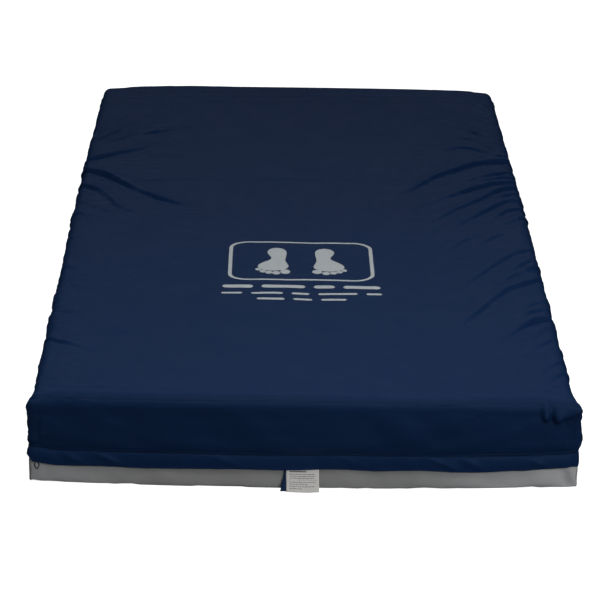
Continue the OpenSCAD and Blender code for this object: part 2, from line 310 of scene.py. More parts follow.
def box_shell(xs, ys, zs):
    """Open box of quads: a face at zs[0] and walls through the other heights."""
    grid_x, grid_y = np.meshgrid(xs, ys, indexing="ij")
    face = np.stack([grid_x, grid_y, np.full_like(grid_x, zs[0])], -1).reshape(-1, 3)
    index = np.arange(len(face)).reshape(len(xs), len(ys))
    rim = grid_rim(index)
    points, quads = [face], [grid_quads(index)]
    last, base = rim, len(face)
    for z in zs[1:]:
        level = face[rim].copy()
        level[:, 2] = z
        now = np.arange(base, base + len(rim))
        quads.append(np.stack([last, now, np.roll(now, -1), np.roll(last, -1)], -1))
        points.append(level)
        last, base = now, base + len(rim)
    return np.vstack(points), np.vstack(quads)


# ------------------------------------------------------------------ materials


class Material:
    """Short way to write node materials on the object's own coordinates."""

    def __init__(self, name):
        self.data = bpy.data.materials.new(name)
        self.data.use_nodes = True
        self.tree = self.data.node_tree
        self.shader = self.tree.nodes["Principled BSDF"]

    @cached_property
    def coord(self):
        return self.node("ShaderNodeTexCoord").outputs["Object"]

    def put(self, socket, value):
        """Links a socket or sets a value; a colour may be given as three numbers."""
        if isinstance(value, bpy.types.NodeSocket):
            self.tree.links.new(value, socket)
        elif socket.type == "RGBA":
            socket.default_value = (*value, 1)
        else:
            socket.default_value = value

    def node(self, kind, **inputs):
        node = self.tree.nodes.new(kind)
        for name, value in inputs.items():
            self.put(node.inputs[name], value)
        return node

    def noise(self, scale, detail=2, rough=0.5, distortion=0):
        return self.node("ShaderNodeTexNoise", Vector=self.coord, Scale=scale, Detail=detail,
                         Roughness=rough, Distortion=distortion).outputs["Fac"]

    def wave(self, scale, axis):
        node = self.node("ShaderNodeTexWave", Vector=self.coord, Scale=scale)
        node.bands_direction = axis
        return node.outputs["Fac"]

    def voronoi(self, scale, feature="F1"):
        node = self.node("ShaderNodeTexVoronoi", Vector=self.coord, Scale=scale)
        node.feature = feature
        return node.outputs["Distance"]

    def math(self, operation, first, second=0.0):
        node = self.node("ShaderNodeMath")
        node.operation = operation
        self.put(node.inputs[0], first)
        self.put(node.inputs[1], second)
        return node.outputs[0]

    def ramp(self, factor, stops):
        """Grey ramp through (position, value) stops."""
        node = self.node("ShaderNodeValToRGB", Fac=factor)
        elements = node.color_ramp.elements
        while len(elements) < len(stops):
            elements.new(0.5)
        for element, (position, value) in zip(elements, stops):
            element.position = position
            element.color = (value, value, value, 1)
        return node.outputs[0]

    def mix(self, factor, first, second):
        node = self.node("ShaderNodeMix")
        node.data_type = "RGBA"
        for i, value in ((0, factor), (6, first), (7, second)):
            self.put(node.inputs[i], value)
        return node.outputs[2]

    def bump(self, height, strength, distance, under=None):
        node = self.node("ShaderNodeBump", Strength=strength, Distance=distance, Height=height)
        if under is not None:
            self.put(node.inputs["Normal"], under)
        return node.outputs[0]

    def finish(self, inputs):
        for name, value in inputs.items():
            self.put(self.shader.inputs[name], value)
        return self.data


def scaled_color(color, factor):
    return tuple(factor * value for value in color)


def knit(mat, strength, under=None, pitch=0.0011):
    """Fine stretch knit: small staggered loops."""
    loops = mat.math("MULTIPLY", mat.wave(0.5 / pitch, "X"), mat.wave(0.5 / (pitch * 0.7), "Y"))
    height = mat.math("ADD", loops, mat.math("MULTIPLY", mat.wave(0.5 / (pitch * 0.8), "Z"), 0.4))
    return mat.bump(height, strength, distance=pitch * 0.25, under=under)


def coated_cloth(name, dark, light, rough=0.5):
    """Coated stretch knit with a painted sheen: its colour goes paler at a shallow angle."""
    # painted sheen: the colour goes towards this paler tone at a shallow viewing angle, standing
    # in for reflected light
    painted_sheen_color = (0.0300, 0.0440, 0.0820)
    mat = Material(name)
    tone = mat.mix(mat.noise(scale=3.1, detail=3, rough=0.55), dark, light)
    mottle = mat.noise(scale=38, detail=3, rough=0.6)
    tone = mat.mix(mat.math("MULTIPLY", mottle, 0.35), tone, light)
    # weight of the painted sheen, taken from the viewing angle
    facing = mat.node("ShaderNodeLayerWeight", Blend=0.5).outputs["Facing"]
    painted_sheen_weight = mat.math("MULTIPLY", mat.math("POWER", facing, 5.0), 0.10)
    tone = mat.mix(painted_sheen_weight, tone, painted_sheen_color)
    wear = mat.math("MULTIPLY", mat.noise(scale=14, detail=4, rough=0.6), 0.16)
    soft = mat.bump(mat.noise(scale=26, detail=4, rough=0.55, distortion=0.4),
                    strength=0.16, distance=0.004)
    fine = mat.bump(mat.noise(scale=240, detail=4, rough=0.65),
                    strength=0.34, distance=0.0007, under=soft)
    return mat.finish({"Base Color": tone, "Roughness": mat.math("ADD", wear, rough - 0.08),
                       "Normal": knit(mat, strength=0.22, under=fine),
                       "Specular IOR Level": 0.36})


def painted_side_light_and_specks(mat, tone):
    """Paints side light on the cloth, paler towards both long sides, and specks it."""
    split = mat.node("ShaderNodeSeparateXYZ", Vector=mat.coord)
    off_middle = mat.math("ABSOLUTE", mat.math("ADD", split.outputs["X"], 0.03))
    painted_side_light_weight = mat.node("ShaderNodeMapRange", **{"From Min": 0.22, "From Max": 0.46,
                                            "Value": off_middle}).outputs[0]
    # painted light: the tone goes paler towards both long sides, standing in for light on the
    # sides
    tone = mat.mix(mat.math("MULTIPLY", painted_side_light_weight, 0.80), tone, (0.47, 0.47, 0.472))
    # the specks are the cloth's own marks
    specks = mat.math("MULTIPLY", mat.noise(scale=70, detail=5, rough=0.7), 0.22)
    return mat.mix(specks, tone, (0.16, 0.16, 0.16))


def woven(name, dark, light, pitch, rough, strength, sheen=0.1, mottle=6.0, fade=None):
    """Woven cloth; pitch is the thread spacing and strength the depth of the weave; fade, where
    given, adds painted side light to the colour.
    """
    mat = Material(name)
    tone = mat.mix(mat.noise(scale=mottle, detail=4, rough=0.6), dark, light)
    across, upright, along = (mat.wave(0.5 / pitch, axis) for axis in "XZY")
    weave = mat.math("ADD", mat.math("MULTIPLY", across, along), upright)
    tone = mat.mix(mat.math("MULTIPLY", weave, 0.22), tone, scaled_color(dark, 0.72))
    # fade paints light: a paler tone towards the long sides, standing in for side light
    if fade:
        tone = fade(mat, tone)
    soft = mat.bump(mat.noise(scale=45, detail=4, rough=0.6), strength=0.2, distance=0.002)
    return mat.finish({"Base Color": tone, "Roughness": rough,
                       "Normal": mat.bump(weave, strength, distance=pitch * 0.3, under=soft),
                       "Specular IOR Level": 0.25, "Sheen Weight": sheen})


def foam(name, dark, light, cell=0.0014, beads=False):
    """Open-celled foam, with blue gel beads if asked."""
    mat = Material(name)
    cells = mat.voronoi(1 / cell, "DISTANCE_TO_EDGE")
    pores = mat.ramp(cells, ((0.0, 1), (0.16, 0.35), (0.4, 0)))
    tone = mat.mix(mat.noise(scale=9, detail=4, rough=0.6), dark, light)
    shade = mat.noise(scale=0.35 / cell, detail=3, rough=0.7)
    tone = mat.mix(mat.math("MULTIPLY", shade, 0.3), tone, scaled_color(dark, 0.8))
    if beads:
        spots = mat.ramp(mat.voronoi(210), ((0.0, 1), (0.16, 1), (0.22, 0)))
        tone = mat.mix(mat.math("MULTIPLY", spots, 0.55), tone, (0.06, 0.24, 0.55))
    height = mat.math("ADD", mat.math("MULTIPLY", pores, 0.5),
                      mat.noise(scale=0.5 / cell, detail=4, rough=0.7))
    return mat.finish({"Base Color": tone, "Roughness": 0.9,
                       "Normal": mat.bump(height, strength=0.5, distance=cell * 0.6),
                       "Specular IOR Level": 0.12, "Subsurface Weight": 0.08,
                       "Subsurface Radius": (0.006, 0.005, 0.004), "Subsurface Scale": 1.0,
                       "Sheen Weight": 0.25})


def plain(name, color, rough, metal=0.0):
    """Smooth hard stuff with a faint grain."""
    mat = Material(name)
    lighter = tuple(min(1, 1.25 * value + 0.004) for value in color)
    wear = mat.math("MULTIPLY", mat.noise(scale=650, detail=3, rough=0.6), 0.2)
    return mat.finish({
        "Base Color": mat.mix(mat.noise(scale=420, detail=3, rough=0.6), color, lighter),
        "Roughness": mat.math("ADD", wear, rough - 0.1),
        "Normal": mat.bump(mat.noise(scale=900, detail=2, rough=0.6), strength=0.1,
                           distance=0.0002),
        "Metallic": metal})


def label_satin():
    mat = Material("label_satin")
    tone = mat.mix(mat.noise(scale=60, detail=4, rough=0.6),
                   (0.50, 0.48, 0.455), (0.60, 0.585, 0.565))
    soft = mat.bump(mat.noise(scale=70, detail=3), strength=0.25, distance=0.001)
    ribs = mat.bump(mat.wave(900, "X"), strength=0.25, distance=0.0002, under=soft)
    return mat.finish({"Base Color": tone, "Roughness": 0.5, "Normal": ribs,
                       "Sheen Weight": 0.2})


def marker_ink():
    mat = Material("marker_ink")
    tone = mat.mix(mat.noise(scale=240, detail=4, rough=0.7),
                   (0.30, 0.335, 0.35), (0.40, 0.43, 0.445))
    return mat.finish({"Base Color": tone, "Roughness": 0.55, "Normal": knit(mat, strength=0.2),
                       "Specular IOR Level": 0.25})


def floor_paint():
    """Bright to the camera, dim in bounced light and nearly black in reflections."""
    mat = Material("floor_paint")
    camera_ray = mat.node("ShaderNodeLightPath").outputs["Is Camera Ray"]
    glossy_ray = mat.node("ShaderNodeLightPath").outputs["Is Glossy Ray"]
    # plain grey stays on the socket under the link
    mat.finish({"Base Color": (0.30, 0.30, 0.30)})
    unseen = mat.mix(glossy_ray, (0.16, 0.16, 0.16), (0.004, 0.004, 0.004))
    return mat.finish({"Base Color": mat.mix(camera_ray, unseen, (0.8, 0.8, 0.8)),
                       "Roughness": 0.9, "Specular IOR Level": 0.0,
                       "Emission Color": (1, 1, 1),
                       "Emission Strength": mat.math("MULTIPLY", camera_ray, 0.80)})


materials = {
    # navy_cover and navy_flap both carry coated_cloth's painted sheen
    "cover": coated_cloth("navy_cover", (0.0030, 0.0152, 0.0530), (0.0038, 0.0178, 0.0608)),
    "flap": coated_cloth("navy_flap", (0.0033, 0.0164, 0.0570), (0.0042, 0.0192, 0.0650),
                         rough=0.46),
    "lining": woven("cover_lining", (0.34, 0.37, 0.42), (0.44, 0.47, 0.52),
                    pitch=0.0012, rough=0.85, strength=0.4, sheen=0.3),
    # the grey boxing gets painted side light, paler towards both long sides, plus specks
    "grey": woven("grey_cloth", (0.176, 0.176, 0.177), (0.276, 0.274, 0.271), pitch=0.0007,
                  rough=0.62, strength=0.22, sheen=0.08, mottle=16.0, fade=painted_side_light_and_specks),
    "grey_lining": woven("grey_lining", (0.42, 0.42, 0.42), (0.5, 0.5, 0.49),
                         pitch=0.0009, rough=0.8, strength=0.3),
    "tape_grey": woven("tape_grey_cloth", (0.10, 0.10, 0.105), (0.15, 0.15, 0.155),
                       pitch=0.0008, rough=0.8, strength=0.5),
    "tape_navy": woven("tape_navy_cloth", (0.006, 0.011, 0.028), (0.010, 0.017, 0.038),
                       pitch=0.0008, rough=0.8, strength=0.5),
    "barrier": woven("barrier_knit", (0.66, 0.64, 0.58), (0.80, 0.78, 0.73),
                     pitch=0.0026, rough=0.92, strength=0.8, sheen=0.4, mottle=4.0),
    "thread": woven("navy_thread", (0.0022, 0.005, 0.013), (0.004, 0.008, 0.020),
                    pitch=0.0004, rough=0.6, strength=0.5),
    "thread_grey": woven("dark_thread", (0.02, 0.02, 0.022), (0.045, 0.045, 0.05),
                         pitch=0.0004, rough=0.6, strength=0.5),
    "base": foam("base_foam_stuff", (0.62, 0.53, 0.30), (0.72, 0.63, 0.40)),
    "transition": foam("transition_foam_stuff", (0.74, 0.75, 0.76), (0.84, 0.85, 0.86)),
    "heel": foam("heel_foam_stuff", (0.52, 0.42, 0.62), (0.62, 0.52, 0.72)),
    "rail": foam("rail_foam_stuff", (0.20, 0.235, 0.27), (0.27, 0.305, 0.34), cell=0.0011),
    "gel": foam("gel_foam_stuff", (0.17, 0.44, 0.72), (0.27, 0.54, 0.80), cell=0.0010,
                beads=True),
    "coil": plain("nylon_coil", (0.012, 0.014, 0.020), rough=0.38),
    "moulded": plain("moulded_nylon", (0.02, 0.02, 0.022), rough=0.45),
    "stop": plain("nickel", (0.55, 0.54, 0.52), rough=0.35, metal=1.0),
    "slider": plain("dark_enamel", (0.028, 0.028, 0.030), rough=0.35, metal=0.6),
    "wire": plain("dark_wire", (0.045, 0.043, 0.042), rough=0.33, metal=0.85),
    "label": label_satin(),
    "label_print": plain("label_print", (0.10, 0.10, 0.11), rough=0.6),
    "ink": marker_ink(),
    "floor": floor_paint(),
}


def paint(piece, material):
    piece.data.materials.clear()
    piece.data.materials.append(materials[material])
    return piece


def fit(piece, material, body, node=None):
    """Paints a piece, lets it ride on a CAD body and hides the CAD node it replaces, if one is
    given.
    """
    paint(piece, material)
    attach(piece, body)
    if node:
        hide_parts(node)


# ------------------------------------------------------------------ drag folds on the top

# height in mm (below zero: even along its length), width in mm, then points in mm
DRAG_FOLDS = (
    (7.6, 17, (-470, 350), (-448, 320), (-396, 262), (-337, 170), (-276, 102), (-205, 40),
     (-165, 15)),
    (4.6, 15, (-475, 255), (-459, 230), (-415, 160), (-370, 63), (-320, -20)),
    (2.4, 11, (-470, 28), (-448, 10), (-402, -33), (-375, -62)),
    (4.6, 14, (-470, 380), (-449, 396), (-385, 445), (-335, 487), (-284, 562), (-223, 597),
     (-160, 625)),
    (3.8, 12, (-465, 500), (-443, 538), (-387, 647), (-322, 743), (-300, 775)),
    (3.4, 12, (-420, 510), (-391, 557), (-318, 651), (-244, 713), (-215, 735)),
    (3.2, 11, (-466, 565), (-448, 595), (-400, 714), (-368, 793)),
    (2.8, 12, (-350, 580), (-316, 601), (-255, 637), (-190, 660)),
    (1.6, 14, (-340, 420), (-310, 418), (-250, 414), (-180, 415)),
    (1.8, 10, (-470, -545), (-454, -564), (-417, -607), (-400, -628)),
    (1.8, 11, (-466, -712), (-448, -730), (-378, -784), (-350, -802)),
    (1.2, 9, (-430, -445), (-419, -456), (-385, -495)),
    (1.5, 11, (-458, 110), (-430, 70), (-395, 20), (-365, -40)),
    (7.4, 17, (468, 428), (445, 421), (390, 396), (326, 332), (269, 255), (200, 135), (170, 85)),
    (3.0, 11, (470, 318), (442, 300), (374, 260), (350, 240)),
    (4.4, 13, (468, 275), (444, 263), (400, 239), (334, 178), (278, 112), (200, 10)),
    (4.2, 13, (470, 240), (447, 227), (418, 204), (366, 130), (309, 44), (222, -92)),
    (3.6, 13, (470, 148), (446, 134), (418, 118), (359, 26), (275, -112)),
    (2.6, 11, (470, 92), (446, 78), (419, 56), (366, -35)),
    (-4.2, 13, (330, 735), (354, 691), (411, 611), (444, 548), (468, 500)),
    (-3.8, 12, (315, 580), (336, 583), (380, 577), (439, 476), (468, 430)),
    (-3.4, 12, (280, 478), (304, 485), (360, 512), (423, 467), (460, 440)),
    (2.8, 13, (470, -165), (450, -185), (412, -219), (368, -295), (317, -393), (280, -490)),
    (1.6, 10, (420, -340), (397, -360), (355, -432)),
    (2.8, 13, (468, -350), (440, -380), (391, -431), (354, -489), (318, -574), (275, -672)),
    (2.6, 11, (466, -530), (437, -548), (408, -571), (376, -622)),
    (2.8, 11, (468, -588), (436, -603), (403, -631), (364, -704)),
    (2.0, 12, (470, -590), (451, -597), (419, -609), (384, -664), (330, -760)),
    (1.5, 12, (345, -520), (324, -552), (268, -680)),
    (1.8, 11, (468, -798), (448, -816), (410, -874)),
    (1.8, 11, (468, -860), (449, -875), (398, -938)),
    (2.6, 9, (-470, 225), (-442, 200), (-405, 150), (-372, 98)),
    (2.0, 8, (-470, 180), (-440, 158), (-412, 112)),
    (2.2, 9, (-470, 300), (-446, 284), (-405, 232), (-362, 172)),
    (2.6, 10, (470, 352), (446, 338), (405, 312), (352, 262), (318, 222)),
    (2.6, 10, (470, 190), (446, 176), (402, 142), (352, 72)),
    (2.0, 9, (470, 40), (448, 22), (420, -18), (398, -60)),
    (2.2, 11, (468, 472), (440, 462), (395, 448), (352, 410)),
    (1.4, 11, (300, -30), (262, -95), (238, -150)),
    (1.4, 11, (330, -130), (290, -200), (262, -262)),
    (1.6, 10, (400, -95), (362, -150), (335, -205)),
    (1.7, 9, (440, -255), (405, -315), (382, -368)),
    (1.8, 9, (458, -480), (425, -520), (380, -566)),
    (1.6, 9, (460, -690), (430, -722), (398, -772)),
    (1.4, 9, (-466, -300), (-445, -325), (-412, -372)),
    (1.4, 9, (-468, -120), (-446, -146), (-420, -192)),
    (-1.1, 26, (215, 650), (197, 593), (140, 377), (72, 153), (40, 60)),
)


def spline(points):
    """Smooth line of about 70 points through the given ones."""
    knots = np.array(points, float)
    knots = np.vstack([2 * knots[0] - knots[1], knots, 2 * knots[-1] - knots[-2]])
    line = []
    count = max(70 // (len(knots) - 3), 6)
    for i in range(1, len(knots) - 2):
        before, start, end, after = knots[i - 1 : i + 3]
        for t in np.linspace(0, 1, count, endpoint=False):
            line.append(0.5 * (2 * start + (end - before) * t
                               + (2 * before - 5 * start + 4 * end - after) * t * t
                               + (3 * start - before - 3 * end + after) * t**3))
    line.append(knots[-2])
    return np.array(line)


def drag_folds(plan):
    """Height in mm of all drag folds together, at plan points in mm."""
    height = np.zeros(len(plan))
    wobble = Waves(21, 18, 45, 170)
    for i, (rise, width, *points) in enumerate(DRAG_FOLDS):
        line = spline(points)
        width = max(0.80 * width, 8.0)
        low, high = line.min(0) - 4 * width, line.max(0) + 4 * width
        near = np.where(((plan > low) & (plan < high)).all(1))[0]
        spots = plan[near]
        run = run_length(line)
        nearest = ((spots[:, None, :] - line[None]) ** 2).sum(-1).argmin(1)
        tangent = unit(np.gradient(line, axis=0))[nearest]
        offset = spots - line[nearest]
        # distance is positive on the side away from the foot end
        normal = np.stack([-tangent[:, 1], tangent[:, 0]], 1)
        normal *= np.where(normal[:, 1] < 0, -1, 1)[:, None]
        distance = (offset * normal).sum(1) + 0.10 * width * wobble(spots * 1.3 - 170 * i)
        along = run[nearest] / run[-1]
        at_end = (nearest == 0) | (nearest == len(line) - 1)
        past_end = np.abs((offset * tangent).sum(1)) * at_end
        if rise > 0:
            fade = ease(-0.04, 0.10, along) * (1 - ease(0.30, 1.06, along))
        else:
            fade = np.sin(np.pi * np.clip(along, 0, 1)) ** 0.8
        fade = fade * bell(past_end, width)
        spread = width * (1.10 - 0.50 * along) * (1 + 0.12 * wobble(spots + 300 * i))
        ridge = np.where(distance > 0, bell(distance, 1.8 * spread),
                         1 - ease(-0.12 * spread, 0.55 * spread, -distance))
        valley = bell(distance + spread, 0.55 * spread)
        uneven = 1.0 + 0.16 * wobble(spots * 0.7 + 90 * i)
        height[near] += 1.32 * abs(rise) * fade * (ridge - 0.5 * valley) * uneven
    return height


# ------------------------------------------------------------------ settling the cover

# tugs at the hem: side, place along it, push inward, pull down, spread
TUGS = (
    (-1, 0.22, 0.004, 0.007, 0.10), (-1, 0.62, 0.003, 0.004, 0.12),
    (-1, -0.66, 0.003, 0.004, 0.10), (1, 0.24, 0.004, 0.008, 0.11),
    (1, -0.50, 0.003, 0.006, 0.10), (1, 0.60, 0.002, 0.003, 0.12),
    (1, -0.84, 0.002, 0.004, 0.07), (-1, -0.30, 0.002, 0.002, 0.10),
)
FRAMES = 26


def sim_core():
    """The slightly uneven core the cloth lies on while it settles."""
    points, quads = box_shell(*graded(0.006, 0.02, 0.02), falling(0.03, 6))
    points = rounded(points, COVER_ROLL)
    inset_plan(points, 0.0030)
    x, y, z = points.T
    crown = (1 - (x / HALF_X) ** 2) * (1 - (y / HALF_Y) ** 4)
    points[:, 2] += -0.0018 + 0.0012 * crown * (z > 0.1)
    core = mesh_object("core_sim", points, quads)
    core.modifiers.new("col", "COLLISION")
    core.collision.thickness_outer = 0.0015
    core.collision.cloth_friction = 12
    core.collision.damping = 0.6
    return core


def settle(flat, start, quads):
    """The cover is a little large for the core and held at the row of stitches; it is tugged
    at a few places along the hem. Returns the settled points."""
    cloth = mesh_object("cover_sim", start, quads)
    core = sim_core()
    low = flat[:, 2] < SEAM_Z + 0.003
    pins = cloth.vertex_groups.new(name="pin")
    pins.add(np.where(low)[0].tolist(), 1.0, "REPLACE")
    cloth.shape_key_add(name="Basis")
    key = cloth.shape_key_add(name="tug")
    tugged = start.copy()
    for side, place, inward, down, spread in TUGS:
        on_side = np.abs(start[:, 0] - side * HALF_X) < 0.02
        weight = np.where(low, bell(start[:, 1] - place, spread) * on_side, 0)
        tugged[:, 0] -= side * inward * weight
        tugged[:, 2] -= down * weight
    key.data.foreach_set("co", tugged.astype(np.float32).ravel())
    for value, frame in ((0, 1), (1, 10)):
        key.value = value
        key.keyframe_insert("value", frame=frame)
    scene = bpy.context.scene
    scene.frame_start, scene.frame_end = 1, FRAMES
    modifier = cloth.modifiers.new("cloth", "CLOTH")
    settings = modifier.settings
    settings.quality = 5
    settings.mass = 0.25
    settings.air_damping = 2
    settings.tension_stiffness = settings.compression_stiffness = 25
    settings.shear_stiffness = 6
    settings.bending_stiffness = 0.25
    settings.tension_damping = settings.compression_damping = 12
    settings.shrink_min = -0.006
    settings.vertex_group_mass = "pin"
    modifier.collision_settings.distance_min = 0.0012
    modifier.collision_settings.collision_quality = 2
    modifier.collision_settings.use_self_collision = False
    modifier.point_cache.frame_start, modifier.point_cache.frame_end = 1, FRAMES
    for frame in range(1, FRAMES + 1):
        scene.frame_set(frame)
    graph = bpy.context.evaluated_depsgraph_get()
    result = bpy.data.meshes.new_from_object(cloth.evaluated_get(graph))
    settled = coords(result)
    bpy.data.meshes.remove(result)
    mesh = cloth.data
    bpy.data.objects.remove(cloth)
    bpy.data.meshes.remove(mesh)
    bpy.data.objects.remove(core)
    scene.frame_set(1)
    return settled


def spline_matrix(knots, places):
    """Weights of a natural cubic spline from values at the knots to values at the places."""
    count, gaps = len(knots), np.diff(knots)
    left, right = np.eye(count), np.zeros((count, count))
    for i in range(1, count - 1):
        before, after = gaps[i - 1], gaps[i]
        left[i, i - 1 : i + 2] = before, 2 * (before + after), after
        right[i, i - 1 : i + 2] = 6 / before, -6 / before - 6 / after, 6 / after
    bends = np.linalg.solve(left, right)
    span = np.clip(np.searchsorted(knots, places) - 1, 0, count - 2)
    share = (places - knots[span]) / gaps[span]
    weights = np.zeros((len(places), count))
    rows = np.arange(len(places))
    weights[rows, span] += 1 - share
    weights[rows, span + 1] += share
    scale = gaps[span] ** 2 / 6
    weights += ((share**3 - share) * scale)[:, None] * bends[span + 1]
    return weights + (((1 - share) ** 3 - (1 - share)) * scale)[:, None] * bends[span]


def resample(moves, coarse, fine):
    """Displacements on the coarse shell carried to the fine one, both in box_shell order.
    Each shell is given as its x, y and z lines."""
    count_x, count_y, count_z = map(len, coarse)
    over_x, over_y, over_z = (spline_matrix(a, b) for a, b in zip(coarse, fine))
    face = moves[: count_x * count_y].reshape(count_x, count_y, 3)
    rim = grid_rim(np.arange(count_x * count_y).reshape(count_x, count_y))
    walls = moves[count_x * count_y :].reshape(count_z - 1, len(rim), 3)
    rows = np.concatenate([moves[rim][None], walls])
    loop = np.concatenate([rows, rows[:, :1]], 1)
    cuts = np.cumsum([0, count_x - 1, count_y - 1, count_x - 1, count_y - 1])
    sides = []
    for i, weights in enumerate((over_x, over_y, over_x[::-1, ::-1], over_y[::-1, ::-1])):
        side = np.einsum("ab,rbc->rac", weights, loop[:, cuts[i] : cuts[i + 1] + 1])
        sides.append(side[:, :-1])
    walls = np.einsum("ab,brc->arc", over_z, np.concatenate(sides, 1))
    face = np.einsum("ab,bcd->acd", over_x, face)
    face = np.einsum("ab,cbd->cad", over_y, face)
    return np.concatenate([face.reshape(-1, 3), walls[1:].reshape(-1, 3)])


def stepped(start, *spans):
    """Coordinates from start through (end, step) spans."""
    values = [start]
    for end, step in spans:
        count = max(int(round((end - values[-1]) / step)), 1)
        values += list(np.linspace(values[-1], end, count + 1)[1:])
    return np.array(values)


# ------------------------------------------------------------------ top cover


def settled_cover():
    """The cover's fine mesh, carrying what the settling did to a coarse one."""
    xs, ys = graded(0.006, 0.0112, 0.0120)
    zs = falling(SEAM_Z - 0.004, 9)
    flat, quads = box_shell(xs, ys, zs)
    lift = (0, 0, 0.0015)
    start = rounded(flat, COVER_ROLL, squareness=4.5) + lift
    moves = np.zeros_like(start)
    moves = settle(flat, start, quads) - start
    inner_x, inner_y = HALF_X - EDGE, HALF_Y - EDGE
    fine_xs = stepped(-HALF_X, (-inner_x, 0.0025), (-0.165, 0.0033), (0.165, 0.0066),
                      (inner_x, 0.0033), (HALF_X, 0.0025))
    fine_ys = stepped(-HALF_Y, (-inner_y, 0.0025), (-0.89, 0.0048), (0.80, 0.0037),
                      (inner_y, 0.0048), (HALF_Y, 0.0025))
    fine_zs = falling(SEAM_Z - 0.004, 18, edge_count=13)
    fine, quads = box_shell(fine_xs, fine_ys, fine_zs)
    moves = resample(moves, (xs, ys, TOP - zs), (fine_xs, fine_ys, TOP - fine_zs))
    base = rounded(fine, COVER_ROLL, squareness=4.5) + lift
    # the end faces are pulled flat by the zip, the long sides a little less
    end = ease(HALF_Y - 0.012, HALF_Y - 0.002, np.abs(base[:, 1]))
    side = ease(HALF_X - 0.012, HALF_X - 0.002, np.abs(base[:, 0])) * (1 - end)
    keep = 1 - 0.86 * end - 0.35 * side
    return mesh_object("top_cover_cloth", base + moves * keep[:, None], quads)


def make_lining():
    flat, quads = box_shell(*graded(0.006, 0.014, 0.014), falling(SEAM_Z + 0.0005, 9))
    points = rounded(flat, 0.0160)
    inset_plan(points, 0.0044)
    z = points[:, 2]
    points[:, 2] = np.minimum(z, 0.1 + (z - 0.1) * (0.0502 / 0.052))
    return mesh_object("top_cover_lining", bow(crowned(points)), quads[:, ::-1])


def cloth_relief(rest):
    """Height along the normal of folds, creases and slack on the settled cloth."""
    x, y, z = rest.T
    plan = rest[:, :2]
    on_top = ease(0.112, 0.138, z)
    height = drag_folds(plan * 1000) * 0.001 * on_top
    height *= 1 - 0.6 * ease(0.435, 0.457, np.abs(x))
    slack, small = Waves(5, 26, 0.10, 0.55)(plan), Waves(6, 30, 0.035, 0.11)(plan)
    height += on_top * (0.0007 * slack + 0.00018 * small)
    # fine creases that fan out from the tugged edges: side, direction, seed, height
    for side, way_x, way_y, seed, rise in ((1, -0.50, -0.86, 12, 0.00085),
                                           (-1, 0.52, -0.85, 13, 0.00080)):
        along, across = x * way_x + y * way_y, x * way_y - y * way_x
        crease = Waves(seed, 22, 0.022, 0.060)(np.stack([0.20 * along, across], 1))
        area = ease(0.25, 0.41, side * x) * ease(-0.90, -0.66, y) * (1 - ease(0.16, 0.34, y))
        patch = ease(-0.3, 1.1, Waves(seed + 20, 14, 0.09, 0.30)(plan))
        height += on_top * area * patch * rise * (np.exp(0.7 * crease) - 1.1)
    # faint creases across the width where the cloth turns down at the head end
    across = Waves(14, 10, 0.016, 0.045)(np.stack([0.06 * x, y], 1))
    head = ease(0.84, 0.93, y) * (1 - ease(0.36, 0.44, np.abs(x)))
    height += on_top * 0.00050 * across * head
    # walls: soft upright and slanting slack, held still at the stitches
    wall = (1 - on_top) * ease(SEAM_Z + 0.001, SEAM_Z + 0.030, z)
    run = np.where(np.abs(x) > HALF_X - 0.02, y, x + 3)
    slant = np.stack([run + 0.5 * (z - 0.1), 0.35 * z], 1)
    height += wall * 0.0012 * Waves(8, 24, 0.06, 0.35)(slant)
    # long sides: the drag folds run on down the side as shallow gathers
    gather = Waves(9, 16, 0.03, 0.08)(np.stack([y + 0.4 * (z - 0.1), 0 * y], 1))
    busy = bell(y - 0.2, 0.26) + 0.7 * bell(y + 0.55, 0.2)
    long_side = ease(HALF_X - 0.05, HALF_X - 0.008, np.abs(x)) * (np.abs(y) < HALF_Y - 0.06)
    height += long_side * busy * 0.0011 * gather * ease(SEAM_Z + 0.004, 0.10, z)
    return height


def shape_corners(points, rest):
    """Ears stand out at the foot corners; the head corners are drawn in and down."""
    x, y, z = rest.T
    upper = ease(0.10, 0.14, z)
    dy = y + HALF_Y
    # side, squeeze along Y, height of the ear, lift, where and how far the edge is drawn in
    for side, squeeze, ear_z, lift, draw_at, draw in (
            (-1, 1.0, 0.144, 0.0022, 0.075, 0.0022), (1, 0.47, 0.142, 0.0034, 0.110, 0.0050)):
        dx = x - side * HALF_X
        spread = bell(np.hypot(dx, dy * squeeze), 0.017)
        level = np.where(z > ear_z, bell(z - ear_z, 0.014), bell(z - ear_z, 0.022))
        push = 0.0075 * spread * (0.22 + 0.78 * level)
        points[:, 0] += side * push * 0.95
        points[:, 1] -= push * 0.80
        points[:, 2] += lift * spread * level
        # the edge is drawn in just behind the ear
        behind = bell(np.abs(dy) - draw_at, 0.030) * bell(dx, 0.02) * upper
        points[:, 0] -= side * draw * behind
        points[:, 1] += 0.0012 * bell(np.abs(dx) - 0.050, 0.028) * bell(dy, 0.02) * upper
    # side, how far down, how far in
    for side, down, inward in ((-1, 0.0085, 0.0185), (1, 0.0065, 0.0120)):
        distance = np.hypot(x - side * HALF_X, y - HALF_Y) * 0.55
        weight = bell(distance, 0.017) * ease(0.07, 0.14, z)
        points[:, 0] -= side * inward * weight * 0.95
        points[:, 1] -= inward * weight * 0.80
        points[:, 2] -= down * weight


